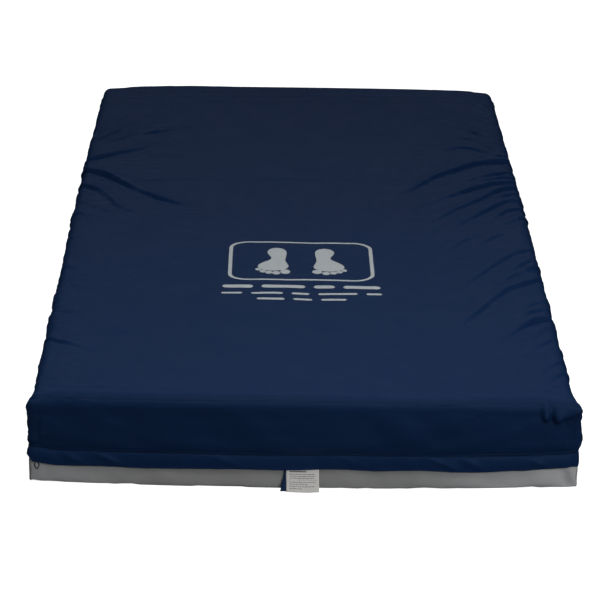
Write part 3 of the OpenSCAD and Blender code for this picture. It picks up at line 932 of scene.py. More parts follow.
def shape_foot_edge(points, rest):
    """Small folds and slack at the foot end's corners."""
    x, y, z = rest.T
    front = 1 - ease(-HALF_Y + 0.012, -HALF_Y + 0.055, y)
    # two short pleats rolled over the edge beside the right corner: x, half width, depth, bottom
    for middle, half, depth, bottom in ((0.4035, 0.0064, 0.0115, 0.1225),
                                        (0.4225, 0.0082, 0.0130, 0.1195)):
        off = np.abs(x - middle)
        low = bottom + 0.010 * np.clip(off / half, 0, 1.2) ** 2
        weight = front * (1 - ease(0.25 * half, 1.55 * half, off))
        weight *= np.clip((0.156 - z) / (0.154 - bottom), 0, 1) ** 0.9
        points[:, 1] -= depth * weight * ease(low - 0.0080, low + 0.0030, z)
    rim = 0.1195 + (x - 0.424) * 0.55
    weight = front * ease(0.424, 0.434, x) * np.clip((0.157 - z) / 0.034, 0, 1)
    points[:, 1] -= 0.0078 * weight * ease(rim - 0.006, rim + 0.0015, z)
    # the upright edge by the right corner is slack: it swells out low down
    weight = ease(0.43, 0.455, x) * (y < -HALF_Y + 0.06)
    points[:, 0] += weight * (0.0042 * bell(z - 0.081, 0.016) - 0.0012 * bell(z - 0.112, 0.008))
    # small folds just above the stitches by the left corner:
    # x, half width, height, slope, half height, depth
    for middle, half, level, slope, half_z, depth in (
            (-0.4515, 0.0075, 0.0690, 0.25, 0.0032, 0.0034),
            (-0.446, 0.011, 0.0795, 0.5, 0.0045, 0.0018)):
        weight = bell(x - middle, half) * bell(z - level - slope * (x - middle), half_z)
        points[:, 1] -= depth * weight * (y < -HALF_Y + 0.03)


def shape_cover(rest, normals):
    """Folds, corners, swollen ends and slack on top of the settled cloth."""
    points = keep_outside(rest, 0.1512)
    points += normals * cloth_relief(rest)[:, None]
    before = points.copy()
    shape_corners(points, rest)
    x, y, z = rest.T
    head = y > 0
    points[head] = stop_at_core(before[head], points[head], CORE_TOP)
    shape_foot_edge(points, rest)
    # the cloth stands a little proud of the pulled-in stitches
    proud = 0.0018 * ease(SEAM_Z + 0.0005, SEAM_Z + 0.024, z)
    proud = (1 - ease(0.10, 0.14, z)) * (proud - 0.0024 * bell(z - SEAM_Z + 0.0006, 0.0030))
    points[:, 1] += np.where(np.abs(y) > HALF_Y - 0.012, np.sign(y), 0) * proud
    points[:, 0] += np.where(np.abs(x) > HALF_X - 0.012, np.sign(x), 0) * proud
    points[:, 2] += (seam_height(x, y) - SEAM_Z) * (1 - ease(0.06, 0.10, z))
    return bow(crowned(keep_outside(points, CORE_TOP)))


cover = settled_cover()
set_coords(cover.data, shape_cover(coords(cover.data), vertex_normals(cover.data)))
fit(cover, "cover", "top_cover", "top_cover")
fit(make_lining(), "lining", "top_cover")
cover_tree = BVHTree.FromPolygons([tuple(point) for point in coords(cover.data)],
                                  [tuple(face.vertices) for face in cover.data.polygons])

# ------------------------------------------------------------------ flaps

# section of a flap in mm: out from the wall, up from the seam
FLAP_SECTION = np.array([
    (0.10, 3.2), (0.60, 2.4), (0.50, 1.5), (-0.85, 0.75), (-1.05, -0.1), (-0.45, -0.8),
    (1.25, -1.5), (2.2, -2.6), (2.9, -4.0), (3.75, -6.4), (4.5, -9.4), (5.0, -12.6),
    (5.3, -16.0), (5.45, -20.0), (5.55, -23.2), (5.60, -24.5), (5.35, -25.1), (4.85, -25.3),
    (4.4, -25.0), (4.2, -24.2), (4.1, -20.0), (3.95, -15.0), (3.5, -11.0), (2.7, -8.0),
    (1.7, -5.4), (0.2, -3.4), (-1.6, -1.2)]) * 0.001
# slanting folds on the foot flap: x, lean, height, width
FLAP_FOLDS = (
    (-0.352, 0.055, 0.0016, 0.010), (-0.405, 0.040, 0.0010, 0.008),
    (0.205, 0.060, 0.0013, 0.011), (0.262, 0.045, 0.0012, 0.010),
    (-0.150, 0.050, 0.0009, 0.012), (0.372, 0.040, 0.0010, 0.010),
    (0.060, 0.050, 0.0007, 0.012),
)


def flap_fit(x, y, foot):
    """How closely the flap lies to the wall, as a factor on its offset."""
    away_x, away_y = np.abs(x), np.abs(y)
    if foot:
        snug = 1 - 0.25 * (1 - ease(0.30, 0.42, away_x))
        tuck = 1 - 0.12 * ease(0.4535, 0.4560, away_x)
    else:
        snug = 0.5
        tuck = 1 - 0.38 * (1 - ease(-HALF_Y + 0.016, -HALF_Y + 0.060, y)) * (x < 0)
    # the left foot corner, where the slider parks, is not drawn in like the other corners
    edge = (away_x > HALF_X - 0.0195) & (away_y > HALF_Y - 0.0195)
    park = edge & (x < 0) & (y < 0)
    turn = np.maximum(
        ease(HALF_X - 0.0195, HALF_X - 0.008, away_x) * (away_y > HALF_Y - 0.013),
        ease(HALF_Y - 0.0195, HALF_Y - 0.008, away_y) * (away_x > HALF_X - 0.013))
    return snug * np.where(park | (tuck < 1), tuck, 1 - 0.62 * turn)


def make_flap(name, plan, normals, seed, foot):
    run = run_length(plan)
    x, y = plan.T
    puff = Waves(seed, 14, 0.09, 0.6, 1)
    fine = Waves(seed + 1, 18, 0.02, 0.07, 1)
    hem = Waves(seed + 2, 14, 0.12, 0.8, 1)
    seam = seam_height(x, y) + 0.0004 * hem(run)
    swell = 1 + 0.20 * np.tanh(puff(run)) + 0.05 * fine(run)
    drop = 1 + 0.035 * hem(run + 9)
    if foot:
        swell = swell + (1.16 - swell) * (1 - ease(-0.425, -0.385, x))
        by_right = ease(0.395, 0.415, x) * (1 - ease(0.4385, 0.4440, x))
        swell = swell + (np.maximum(swell, 1.22) - swell) * by_right
        # the hem rises a little at the right corner and is cut back on a slant at the left one
        drop = drop * (1 - 0.02 * ease(0.41, 0.457, x))
        slant = 0.0165 * (1 - ease(-0.4565, -0.4465, x)) * (y < -HALF_Y + 0.02)
        lowest = np.where(x < -0.44, 0.0335 + slant, -1)
    snug = flap_fit(x, y, foot)
    rings = np.empty((len(plan), len(FLAP_SECTION), 3))
    for i, (out, rise) in enumerate(FLAP_SECTION):
        down = np.clip(-rise / 0.025, 0, 1)
        offset = out * swell * snug if out > 0.0006 else out
        # long slanting slack folds across the flap
        offset = offset + 0.0007 * down * np.tanh(puff(run * 1.7 + 0.06 * down + 3)) * snug
        z = seam + (rise * (1 + (drop - 1) * down) if rise < 0 else rise)
        if foot:
            fullness = np.sin(np.pi * np.clip(down * 0.9 + 0.08, 0, 1))
            for place, lean, height, width in FLAP_FOLDS:
                offset = offset + 1.6 * height * bell(x - place - lean * down, width) * fullness
            # it stands out over the label
            offset = offset + 0.0015 * bell(x + 0.001, 0.033) * down**2
            z = np.maximum(z, lowest + 0.02 * max(rise + 0.0253, 0))
        rings[:, i, :2] = plan + normals * offset[:, None]
        rings[:, i, 2] = z
    return strip(name, bow(rings.reshape(-1, 3)).reshape(rings.shape))


def make_flaps():
    """The outline is shared out by the direction it faces."""
    plan, normals, _ = outline(FLAP_RADIUS, step=0.0035)
    x, y = plan.T
    angle = np.arctan2(normals[:, 1], normals[:, 0])
    eighth = math.pi / 4
    foot = (angle < -eighth) & (angle > -0.75 * math.pi - 1e-6) & (y < 0)
    right = (np.abs(angle) <= eighth) & (x > 0)
    head = (angle > eighth) & (angle < 0.75 * math.pi) & (y > 0)
    left = ~(foot | right | head) & (y > -HALF_Y + FLAP_RADIUS)
    # body, part of the outline, seed, shifts that widen the part by a point to meet the next
    for body, part, seed, shifts in (("foot_flap", foot, 31, (-1,)),
                                     ("right_flap", right, 41, (1, -1)),
                                     ("head_flap", head, 51, (1, -1)),
                                     ("left_flap", left, 61, ())):
        for shift in shifts:
            part = part | np.roll(part, shift)
        index = np.where(part)[0]
        gaps = np.where(np.diff(index) > 1)[0]
        if len(gaps):
            index = np.roll(index, -(gaps[0] + 1))
        flap = make_flap(body + "_cloth", plan[index], normals[index], seed, part is not None
                         and body == "foot_flap")
        paint(flap, "flap")
        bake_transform(flap)
        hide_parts(body)


make_flaps()

# ------------------------------------------------------------------ stitches on the cover


def stitches(name, centres, ways, length, radius, sides=6):
    """Short rounded threads at the centres, along the unit directions."""
    side = np.cross(ways, (0.0, 0.0, 1.0))
    side[np.linalg.norm(side, axis=1) < 0.2] = (1, 0, 0)
    side = unit(side)
    up = np.cross(side, ways)
    rows = []
    # place along the thread and thickness there, as shares of length and radius
    for place, thickness in ((-0.5, 0.35), (-0.36, 0.9), (0.0, 1.05), (0.36, 0.9), (0.5, 0.35)):
        ring = [centres + ways * (place * length)
                + (side * math.cos(angle) + up * math.sin(angle)) * (radius * thickness)
                for angle in np.linspace(0, 2 * math.pi, sides, endpoint=False)]
        rows.append(np.stack(ring, 1))
    points = np.stack(rows, 1)
    count, size = len(centres), len(rows) * sides
    base, around = np.arange(len(rows) - 1)[:, None] * sides, np.arange(sides)
    after = (around + 1) % sides
    tube = np.stack([base + around, base + after, base + sides + after, base + sides + around],
                    -1).reshape(-1, 4)
    faces = list(repeat_faces(count, size, tube))
    faces += list(repeat_faces(count, size, around[::-1]))
    faces += list(repeat_faces(count, size, size - sides + around))
    return mesh_object(name, points.reshape(-1, 3), faces)


def flap_stitch_row():
    plan, normals, _ = outline(FLAP_RADIUS, step=0.0042)
    centres = bow(np.c_[plan, seam_height(plan[:, 0], plan[:, 1])])
    ways = unit(np.roll(centres, -1, 0) - np.roll(centres, 1, 0))
    centres[:, :2] -= normals * 0.00055
    return stitches("flap_stitch_row", centres, ways, length=0.0032, radius=0.00062)


def corner_seam_stitches():
    """Upright rows just beside the corners, on the end faces of the cover."""
    centres = []
    for side in (-1, 1):
        for end in (-1, 1):
            for z in np.arange(SEAM_Z + 0.006, 0.139, 0.0044):
                place = np.array((side * (HALF_X - 0.0042), end * (HALF_Y + 0.002), z))
                out = Vector((0, end, 0))
                hit = cover_tree.ray_cast(Vector(place) + out * 0.03, -out, 0.06)[0]
                if hit is not None:
                    place = np.array(hit)
                centres.append(place + np.array(out) * 0.0001)
    centres = np.array(centres)
    ways = np.gradient(centres, axis=0)
    # a long step in height joins two corners, so the thread is set upright there
    ways = unit(np.where(np.abs(ways[:, 2:3]) > 0.02, np.array([[0, 0, 1.0]]), ways))
    return stitches("corner_seam_stitches", centres, ways, length=0.0031, radius=0.00034)


fit(flap_stitch_row(), "thread", "top_cover", "flap_stitching")
fit(corner_seam_stitches(), "thread", "top_cover", "corner_stitching")

# ------------------------------------------------------------------ grey bottom cover

# rucks in the boxing of the foot end: x, height, width
RUCKS = (
    (0.449, 0.0026, 0.005), (0.436, -0.0020, 0.007), (0.421, 0.0016, 0.008),
    (-0.440, 0.0022, 0.006), (-0.427, -0.0014, 0.008), (0.395, 0.0012, 0.012),
    (-0.35, 0.0012, 0.012),
)


def bottom_shape():
    """Points and quads of the base and boxing."""
    zs = np.r_[0.0, 0.0006, 0.0018, 0.0036, np.linspace(0.006, BOXING_Z, 9)]
    flat, quads = box_shell(*graded(0.005, 0.014, 0.014), zs)
    x, y, z = flat.T
    border = (np.abs(np.abs(x) - HALF_X) < 1e-6) | (np.abs(np.abs(y) - HALF_Y) < 1e-6)
    inner = ~border
    # upright corners, then the turn at the bottom edge
    centres = roll_centres(flat, BOXING_RADIUS)[:, :2]
    offset = flat[:, :2] - centres
    out = offset / np.maximum(np.linalg.norm(offset, axis=1), 1e-9)[:, None]
    bend = 0.0020
    drawn = bend - np.sqrt(np.maximum(bend * bend - (bend - z) ** 2, 0))
    reach = BOXING_RADIUS - np.where(z < bend, drawn, 0)
    points = flat.copy()
    points[border, :2] = (centres + out * reach[:, None])[border]
    x, y = points[:, 0].copy(), points[:, 1].copy()
    run = np.where(np.abs(out[:, 0]) > 0.7, y, x + 3)
    slack = Waves(71, 22, 0.035, 0.22)(np.stack([run + 0.5 * z, 0.9 * z], 1))
    bulge = 0.00095 * slack + 0.0007 * Waves(72, 12, 0.2, 0.9, 1)(run)
    for middle, height, width in RUCKS:
        ruck = bell(x + 0.25 * (z - 0.015) - middle, width)
        bulge = bulge + height * ruck * (y < -HALF_Y + 0.03)
    # it lies flat beside the left corner of the foot end
    bulge = bulge * (1 - 0.9 * bell(x + 0.4455, 0.016) * (y < 0))
    bulge = bulge * ease(0.0, 0.008, z) * (1 - 0.85 * ease(0.028, BOXING_Z, z))
    wall = border & (z > 0.0001)
    points[wall, :2] += (out * bulge[:, None])[wall]
    lift = 0.0013 * np.clip(Waves(73, 22, 0.03, 0.3, 1)(run), 0, 2) * (1 - ease(0.0, 0.012, z))
    points[border, 2] += lift[border]
    points[inner, 2] += 0.0004 + 0.0003 * Waves(74, 20, 0.06, 0.5)(points[inner, :2])
    points[:, 2] = np.maximum(points[:, 2], 0)
    return bow(points), quads[:, ::-1]


def boxing_corner_stitches():
    centres, ways = [], []
    for side in (-1, 1):
        for end in (-1, 1):
            for z in np.arange(0.0035, BOXING_Z - 0.004, 0.0042):
                x = HALF_X - 0.0028 - 0.0012 * math.sin(90 * z + side)
                into = max(x - (HALF_X - BOXING_RADIUS), 0)
                y = HALF_Y - BOXING_RADIUS + math.sqrt(BOXING_RADIUS**2 - into * into) + 0.0001
                centres.append((side * x, end * y, z))
                ways.append((0.10 * side, 0, 1))
    return stitches("boxing_corner_stitches", bow(centres), unit(np.array(ways)),
                    length=0.0030, radius=0.0004)


bottom_points, bottom_quads = bottom_shape()
bottom = mesh_object("bottom_cover_cloth", bottom_points, bottom_quads)
bottom_lining = mesh_object("bottom_cover_lining",
                            bottom_points - vertex_normals(bottom.data) * 0.0011,
                            bottom_quads[:, ::-1])
fit(bottom, "grey", "bottom_cover", "bottom_cover")
fit(bottom_lining, "grey_lining", "bottom_cover")
fit(boxing_corner_stitches(), "thread_grey", "bottom_cover")

# ------------------------------------------------------------------ zip

ZIP_PITCH = 0.0021
# one coil loop: depth behind the outline, share of the way from the tape to the tip
COIL_LOOP = ((0.0034, 0), (0.0014, 0), (0.0010, 0.25), (0.0011, 0.88), (0.0017, 1), (0.0027, 1),
             (0.0033, 0.88))


def open_outline(plan, gap):
    """Mask of the outline without the left side's first stretch past the foot corner."""
    return ~((plan[:, 0] < -HALF_X + 0.0126) & (plan[:, 1] < -HALF_Y + gap))


def zip_tape(name, low, high):
    """Flat band round the mattress, carried straight on past the foot end's left corner."""
    plan, normals, _ = outline(ZIP_RADIUS, step=0.006)
    keep = open_outline(plan, gap=0.030)
    plan = np.vstack([[[-HALF_X + 0.0022, -HALF_Y]], plan[keep]])
    normals = np.vstack([[[0, -1.0]], normals[keep]])
    front, back = 0.0034, 0.0041
    rings = np.stack([np.c_[plan - normals * inset, np.full(len(plan), z)] for inset, z in
                      ((front, high), (front, low), (back, low), (back, high))], 1)
    rings = bow(rings.reshape(-1, 3)).reshape(rings.shape)
    return strip(name, rings, closed_round=True, smooth=False)


def zip_coil(name, back, phase):
    """One row of loops from height back to the zip line; phase is in pitches."""
    line, line_normals, run = outline(ZIP_RADIUS, step=ZIP_PITCH / 3)
    places = np.arange(phase * ZIP_PITCH, run[-1], ZIP_PITCH)
    plan, normals = (np.stack([np.interp(places, run, table[:, i]) for i in (0, 1)], 1)
                     for table in (line, line_normals))
    keep = open_outline(plan, gap=0.044)
    start = -HALF_X + 0.003 + phase * ZIP_PITCH
    xs = np.arange(start, -HALF_X + 0.0125, ZIP_PITCH)
    plan = np.vstack([np.c_[xs, np.full(len(xs), -HALF_Y)], plan[keep]])
    normals = np.vstack([np.tile((0, -1.0), (len(xs), 1)), unit(normals)[keep]])
    along = np.c_[-normals[:, 1], normals[:, 0]]
    half, count, corners = 0.00042, len(plan), len(COIL_LOOP)
    points = np.stack([np.c_[plan - normals * depth + along * (side * half),
                             np.full(count, back + share * (ZIP_Z - back))]
                       for side in (-1, 1) for depth, share in COIL_LOOP], 1)
    around = np.arange(corners)
    after = (around + 1) % corners
    band = np.stack([around, after, corners + after, corners + around], -1)
    faces = list(repeat_faces(count, 2 * corners, band))
    faces += list(repeat_faces(count, 2 * corners, around[::-1]))
    faces += list(repeat_faces(count, 2 * corners, corners + around))
    return mesh_object(name, bow(points.reshape(-1, 3)), faces, smooth=False)


def pull_wire(sides=14):
    """Closed wire in a teardrop: narrow over the post, round at the bottom."""
    low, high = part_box("zip_pull_loop")
    middle = (low + high) / 2
    radius = (high.y - low.y) / 2
    half = (high.z - low.z) / 2 - radius
    path = []
    for angle in np.linspace(0, 2 * math.pi, 72, endpoint=False):
        down = (1 - math.cos(angle)) / 2
        wide = 0.0021 + (0.0041 - 0.0021) * float(ease(0.35, 0.75, down))
        path.append((middle.x + wide * math.sin(angle), middle.y - 0.0011 * down,
                     middle.z + half * math.cos(angle)))
    path = np.array(path)
    tangent = unit(np.roll(path, -1, 0) - np.roll(path, 1, 0))
    side = np.tile((0, 1.0, 0), (len(path), 1))
    up = unit(np.cross(side, tangent))
    around = np.linspace(0, 2 * math.pi, sides, endpoint=False)[None, :, None]
    rings = path[:, None] + radius * (np.cos(around) * side[:, None]
                                      + np.sin(around) * up[:, None])
    return strip("zip_pull_wire", rings, closed_along=True, closed_round=True)


# from the zip line: near and far edge of a tape, back of a coil
TAPE_NEAR, TAPE_FAR, COIL_BACK = 0.0016, 0.0170, 0.0038
lower_tape = zip_tape("zip_tape_lower_cloth", ZIP_Z - TAPE_FAR, ZIP_Z - TAPE_NEAR)
upper_tape = zip_tape("zip_tape_upper_cloth", ZIP_Z + TAPE_NEAR, ZIP_Z + TAPE_FAR)
lower_coil = zip_coil("zip_coil_lower_loops", ZIP_Z - COIL_BACK, phase=0.0)
upper_coil = zip_coil("zip_coil_upper_loops", ZIP_Z + COIL_BACK, phase=0.5)
fit(lower_tape, "tape_grey", "bottom_cover", "zip_lower_tape")
fit(lower_coil, "coil", "bottom_cover", "zip_lower_coil")
fit(upper_tape, "tape_navy", "top_cover", "zip_upper_tape")
fit(upper_coil, "coil", "top_cover", "zip_upper_coil")
fit(pull_wire(), "wire", "pull_loop", "zip_pull_loop")

# ------------------------------------------------------------------ fire barrier and foam


def make_barrier():
    flat, quads = box_shell(*graded(0.006, 0.0135, 0.0135), falling(0.011, 12))
    points = rounded(flat, 0.0150)
    inset_plan(points, 0.0066)
    z = points[:, 2]
    points[:, 2] = np.where(z > 0.1, 0.1 + (z - 0.1) * (0.0494 / 0.052), z)
    points = crowned(points)
    outside = mesh_object("fire_barrier_knit", points, quads)
    x, y, z = points.T
    side = 1 - ease(0.115, 0.14, z)
    run = np.where(np.abs(x) > HALF_X - 0.03, y, x + 3)
    ruck = Waves(91, 26, 0.025, 0.16)(np.stack([run, 0.5 * z], 1))
    soft = Waves(92, 26, 0.03, 0.25)(points[:, :2])
    low = 1 - ease(0.012, 0.10, z)
    height = side * (-0.0003 + (0.0004 + 0.0004 * low) * ruck) + (1 - side) * 0.00008 * soft
    height = np.clip(height, -0.0010, 0.0004)
    points = points + vertex_normals(outside.data) * height[:, None]
    set_coords(outside.data, points)
    thickness = (0.0003 + 0.0009 * side)[:, None]
    inside = mesh_object("fire_barrier_inside",
                         points - vertex_normals(outside.data) * thickness, quads[:, ::-1])
    fit(outside, "barrier", "fire_barrier", "fire_barrier")
    fit(inside, "barrier", "fire_barrier")


def foam_block(name, node, material, roll, is_rolled):
    """Cut foam block: a larger roll on the chosen edges and soft small edges on the rest.
    is_rolled takes an edge's middle, whether it is upright, and the block's top."""
    low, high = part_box(node)
    keep_x, keep_y = HALF_X - 0.0096, HALF_Y - 0.0096
    low = (max(low.x, -keep_x), max(low.y, -keep_y), low.z)
    high = (min(high.x, keep_x), min(high.y, keep_y), min(high.z, 0.1476))
    block = bmesh.new()
    bmesh.ops.create_cube(block, size=1)
    for vert in block.verts:
        vert.co = [low[i] if vert.co[i] < 0 else high[i] for i in range(3)]
    chosen = []
    for edge in block.edges:
        first, second = edge.verts[0].co, edge.verts[1].co
        upright = abs((first - second).normalized().z) > 0.9
        if is_rolled((first + second) / 2, upright, high[2]):
            chosen.append(edge)
    bmesh.ops.bevel(block, geom=chosen, offset=roll, segments=7, profile=0.5, affect="EDGES",
                    clamp_overlap=True)
    sharp = [edge for edge in block.edges
             if len(edge.link_faces) == 2 and edge.calc_face_angle() > 1.2]
    bmesh.ops.bevel(block, geom=sharp, offset=0.0016, segments=3, profile=0.5, affect="EDGES",
                    clamp_overlap=True)
    mesh = bpy.data.meshes.new(name)
    block.to_mesh(mesh)
    block.free()
    mesh.polygons.foreach_set("use_smooth", np.ones(len(mesh.polygons), bool))
    mesh.set_sharp_from_angle(angle=0.9)
    piece = bpy.data.objects.new(name, mesh)
    bpy.context.scene.collection.objects.link(piece)
    fit(piece, material, "foam_core", node)


make_barrier()
foam_block("gel_topper_block", "gel_foam_topper", "gel", 0.0150,
           lambda middle, upright, top: upright or middle.z > top - 0.001)
foam_block("base_foam_block", "base_foam", "base", 0.0030,
           lambda middle, upright, top: upright)
foam_block("left_rail_block", "left_side_rail", "rail", 0.0120,
           lambda middle, upright, top: upright and middle.x < -0.44)
foam_block("right_rail_block", "right_side_rail", "rail", 0.0120,
           lambda middle, upright, top: upright and middle.x > 0.44)
# CAD pieces shown as they are
for node, material, slot in (
        ("transition_foam", "transition", "transition_foam"),
        ("heel_foam_insert", "heel", "heel_foam"),
        ("zip_retainer_box", "moulded", "zip_fitting"),
        ("zip_insertion_pin", "moulded", "zip_fitting"),
        ("zip_lower_stop", "stop", "zip_stop"),
        ("zip_upper_stop", "stop", "zip_stop"),
        ("zip_slider", "slider", "zip_slider")):
    paint(cad_nodes[node], material)

# ------------------------------------------------------------------ label

LABEL_X = -0.0012
LABEL_TOP = 0.0335


def label_face(u, v):
    """Point on the label: u across from left to right, v down from the hem."""
    x = LABEL_X + (u - 0.5) * 0.055 + 0.0006 * v
    lean = 0.0290 * v**1.45 + 0.0010 * np.sin(3.1 * u + 0.4) * v
    z = LABEL_TOP - 0.0325 * v + 0.0006 * np.cos(5 * u) * v
    return np.stack([x, -HALF_Y - END_SWELL - 0.0022 - lean, z], -1)


def backing_face(u, v):
    """Point on the navy backing behind the label, in the same u and v."""
    x = LABEL_X - 0.0035 + (u - 0.5) * 0.050 - 0.0085 * v
    z = LABEL_TOP - 0.0329 * v + 0.0010 * u * v
    return np.stack([x, -HALF_Y - END_SWELL - 0.0014 - 0.0262 * v**1.4, z], -1)


def sheet(name, face, count_u, count_v, thickness):
    """Thin closed sheet: face(u, v) gives a point, u and v run 0 to 1."""
    u, v = np.meshgrid(np.linspace(0, 1, count_u), np.linspace(0, 1, count_v), indexing="ij")
    points = face(u, v)
    normals = unit(np.cross(np.gradient(points, axis=0), np.gradient(points, axis=1)))
    half = normals * thickness / 2
    verts = np.concatenate([(points + half).reshape(-1, 3), (points - half).reshape(-1, 3)])
    index = np.arange(count_u * count_v).reshape(count_u, count_v)
    back = index.size
    quads = grid_quads(index)
    faces = [quads, quads[:, ::-1] + back]
    for rim in (index[:, 0], index[-1, :], index[::-1, -1], index[0, ::-1]):
        faces.append(np.stack([rim[:-1], rim[:-1] + back, rim[1:] + back, rim[1:]], -1))
    return mesh_object(name, verts, np.vstack(faces))


def label_print():
    """Rows of short bars that carry no letters."""
    random = np.random.default_rng(17)
    bars = []

    def bar(left, right, top, bottom):
        u, v = np.array([left, right, right, left]), np.array([top, top, bottom, bottom])
        bars.append(label_face(u, v) + np.array((0, -0.00026, 0.0001)))

    def row(top, height, end, longest):
        left = 0.10
        while left < end - 0.04:
            length = random.uniform(0.03, longest)
            bar(left, min(left + length, end), top, top + height)
            left += length + 0.018

    bar(0.10, 0.62, 0.17, 0.225)
    for top in (0.30, 0.38, 0.46):
        row(top, height=0.028, end=0.9, longest=0.11)
    bar(0.06, 0.94, 0.545, 0.556)
    for top, end in ((0.62, 0.9), (0.70, 0.7), (0.78, 0.86), (0.86, 0.5)):
        row(top, height=0.024, end=end, longest=0.12)
    verts = np.concatenate(bars)
    faces = np.arange(len(verts)).reshape(-1, 4)[:, ::-1]
    return mesh_object("label_print_bars", verts, faces, smooth=False)


label = sheet("care_label_cloth", label_face, 24, 20, thickness=0.00035)
backing = sheet("label_backing_cloth", backing_face, 16, 14, thickness=0.0005)
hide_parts("care_label")
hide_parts("label_backing")
# piece, material, slot, how much lower the backing starts to bend
for piece, material, slot, lower in ((label, "label", "label_white", 0.0),
                                     (backing, "flap", "label_navy", 0.0020),
                                     (label_print(), "label_print", "label_white", 0.0)):
    paint(piece, material)
    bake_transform(piece)

# ------------------------------------------------------------------ foot-end marker on the top

# all marker sizes are in mm
MARKER_X, MARKER_Y = -1.0, -292.0
# toes: offset outward and in Y from the foot's middle, radius
TOES = ((-21, -72, 9.5), (-4, -80, 7.6), (10, -77, 6.6), (21.5, -70, 6.0), (30.5, -59, 5.4))
# rows of bars: Y, height, lengths
WORD_ROWS = ((-442, 16, (58, 82, 40, 70)), (-480, 10, (40, 60, 34, 74, 30)),
             (-512, 10, (52, 36, 48)))
WORD_GAP = 15


def frame_band(width, height, radius, stroke, count=220):
    """Outline of a rounded rectangle as a band of quads."""
    edges = []
    for inset in (0, stroke):
        half_x, half_y, bend = width / 2 - inset, height / 2 - inset, radius - inset
        points = []
        for sx, sy, start in ((1, 1, 0), (-1, 1, 90), (-1, -1, 180), (1, -1, 270)):
            for angle in np.linspace(math.radians(start), math.radians(start + 90), 14):
                points.append((MARKER_X + sx * (half_x - bend) + bend * math.cos(angle),
                               MARKER_Y + sy * (half_y - bend) + bend * math.sin(angle)))
        points = np.array(points + points[:1])
        run = run_length(points)
        places = np.linspace(0, run[-1], count)
        edges.append(np.stack([np.interp(places, run, points[:, i]) for i in (0, 1)], 1))
    return np.stack(edges, 1)


def sole(side):
    t = np.linspace(-1, 1, 48)
    y = MARKER_Y + 8 - 70 * t
    half = 19 + 10.5 * ease(-0.1, 0.62, t) - 5.5 * bell(t + 0.08, 0.34)
    rounding = 1 - np.clip((np.abs(t) - 0.55) / 0.45, 0, 1) ** 2.2
    half = half * np.sqrt(np.clip(rounding, 0, 1))
    bend = 46 + 7.0 * ease(-0.5, 0.6, t) - 5.0 * bell(t + 0.08, 0.3)
    x = (MARKER_X + side * bend)[:, None] + np.linspace(-1, 1, 13)[None] * half[:, None]
    return np.stack([x, np.repeat(y[:, None], 13, 1)], -1)


def toe(x, y, radius_x, radius_y):
    u, v = np.meshgrid(np.linspace(-1, 1, 6), np.linspace(-1, 1, 6), indexing="ij")
    return np.stack([x + u * np.sqrt(1 - v * v / 2) * radius_x,
                     y + v * np.sqrt(1 - u * u / 2) * radius_y], -1)


def word_bar(left, length, y, height):
    """Bar with rounded ends."""
    count_x, count_y = (max(int(size / 3), 2) + 1 for size in (length, height))
    radius = height / 2.1
    x = np.linspace(left, left + length, count_x)
    depth = radius - np.minimum(x - left, left + length - x)
    arc = radius - np.sqrt(np.maximum(radius * radius - depth**2, 0))
    half = height / 2 - np.where(depth > 0, arc, 0)
    ys = y + np.linspace(-1, 1, count_y)[None] * half[:, None]
    return np.stack([np.repeat(x[:, None], count_y, 1), ys], -1)


def marker_shapes():
    """A rounded frame, two plain footprints with toes towards the foot end, rows of bars."""
    shapes = [frame_band(width=276, height=232, radius=38, stroke=7.0)]
    for side in (-1, 1):
        shapes.append(sole(side))
        for out, ahead, radius in TOES:
            shapes.append(toe(MARKER_X + side * (51 + out), MARKER_Y + 6 + ahead,
                              radius, radius * 1.35))
    for y, height, words in WORD_ROWS:
        x = MARKER_X - (sum(words) + WORD_GAP * (len(words) - 1)) / 2
        for length in words:
            shapes.append(word_bar(x, length, y, height))
            x += length + WORD_GAP
    return shapes


def make_marker():
    """The shapes laid just over the cover, all facing up."""
    verts, faces = [], []
    for shape in marker_shapes():
        points = []
        for x, y in shape.reshape(-1, 2) * 0.001:
            hit = cover_tree.ray_cast(Vector((x, y, TOP + 0.05)), Vector((0, 0, -1)), 0.1)[0]
            points.append((x, y, (hit.z if hit is not None else TOP) + 0.00022))
        quads = grid_quads(np.arange(len(points)).reshape(shape.shape[:2]))
        origin, along, _, across = np.array(points)[quads[0]]
        if np.cross(along - origin, across - origin)[2] < 0:
            quads = quads[:, ::-1]
        faces += list(quads + len(verts))
        verts += points
    return mesh_object("foot_end_marker_print", verts, faces)


fit(make_marker(), "ink", "top_cover")

# ------------------------------------------------------------------ camera, light, floor

scene = bpy.context.scene


def add_camera():
    """Looks along the mattress from beyond the foot end."""
    data = bpy.data.cameras.new("cam")
    data.lens, data.sensor_width, data.shift_x = 166.0, 36.0, 0.0033
    camera = bpy.data.objects.new("cam", data)
    scene.collection.objects.link(camera)
    pitch, yaw, roll = math.radians(19.0), math.radians(0.6), math.radians(0.9)
    forward = Vector((math.sin(yaw) * math.cos(pitch), math.cos(yaw) * math.cos(pitch),
                      -math.sin(pitch)))
    level = forward.cross(Vector((0, 0, 1))).normalized()
    upright = level.cross(forward)
    right = math.cos(roll) * level + math.sin(roll) * upright
    up = -math.sin(roll) * level + math.cos(roll) * upright
    turn = Matrix((right, up, -forward)).transposed().to_4x4()
    camera.matrix_world = Matrix.Translation((-0.058, -5.309, 1.805)) @ turn
    scene.camera = camera


def add_light(data, aim, location=(0, 0, 0), glossy=False):
    """Adds a light that shines along aim; glossy lets reflections see it."""
    light = bpy.data.objects.new(data.name, data)
    light.location = location
    light.rotation_euler = aim.to_track_quat("-Z", "Y").to_euler()
    light.visible_glossy = glossy
    scene.collection.objects.link(light)


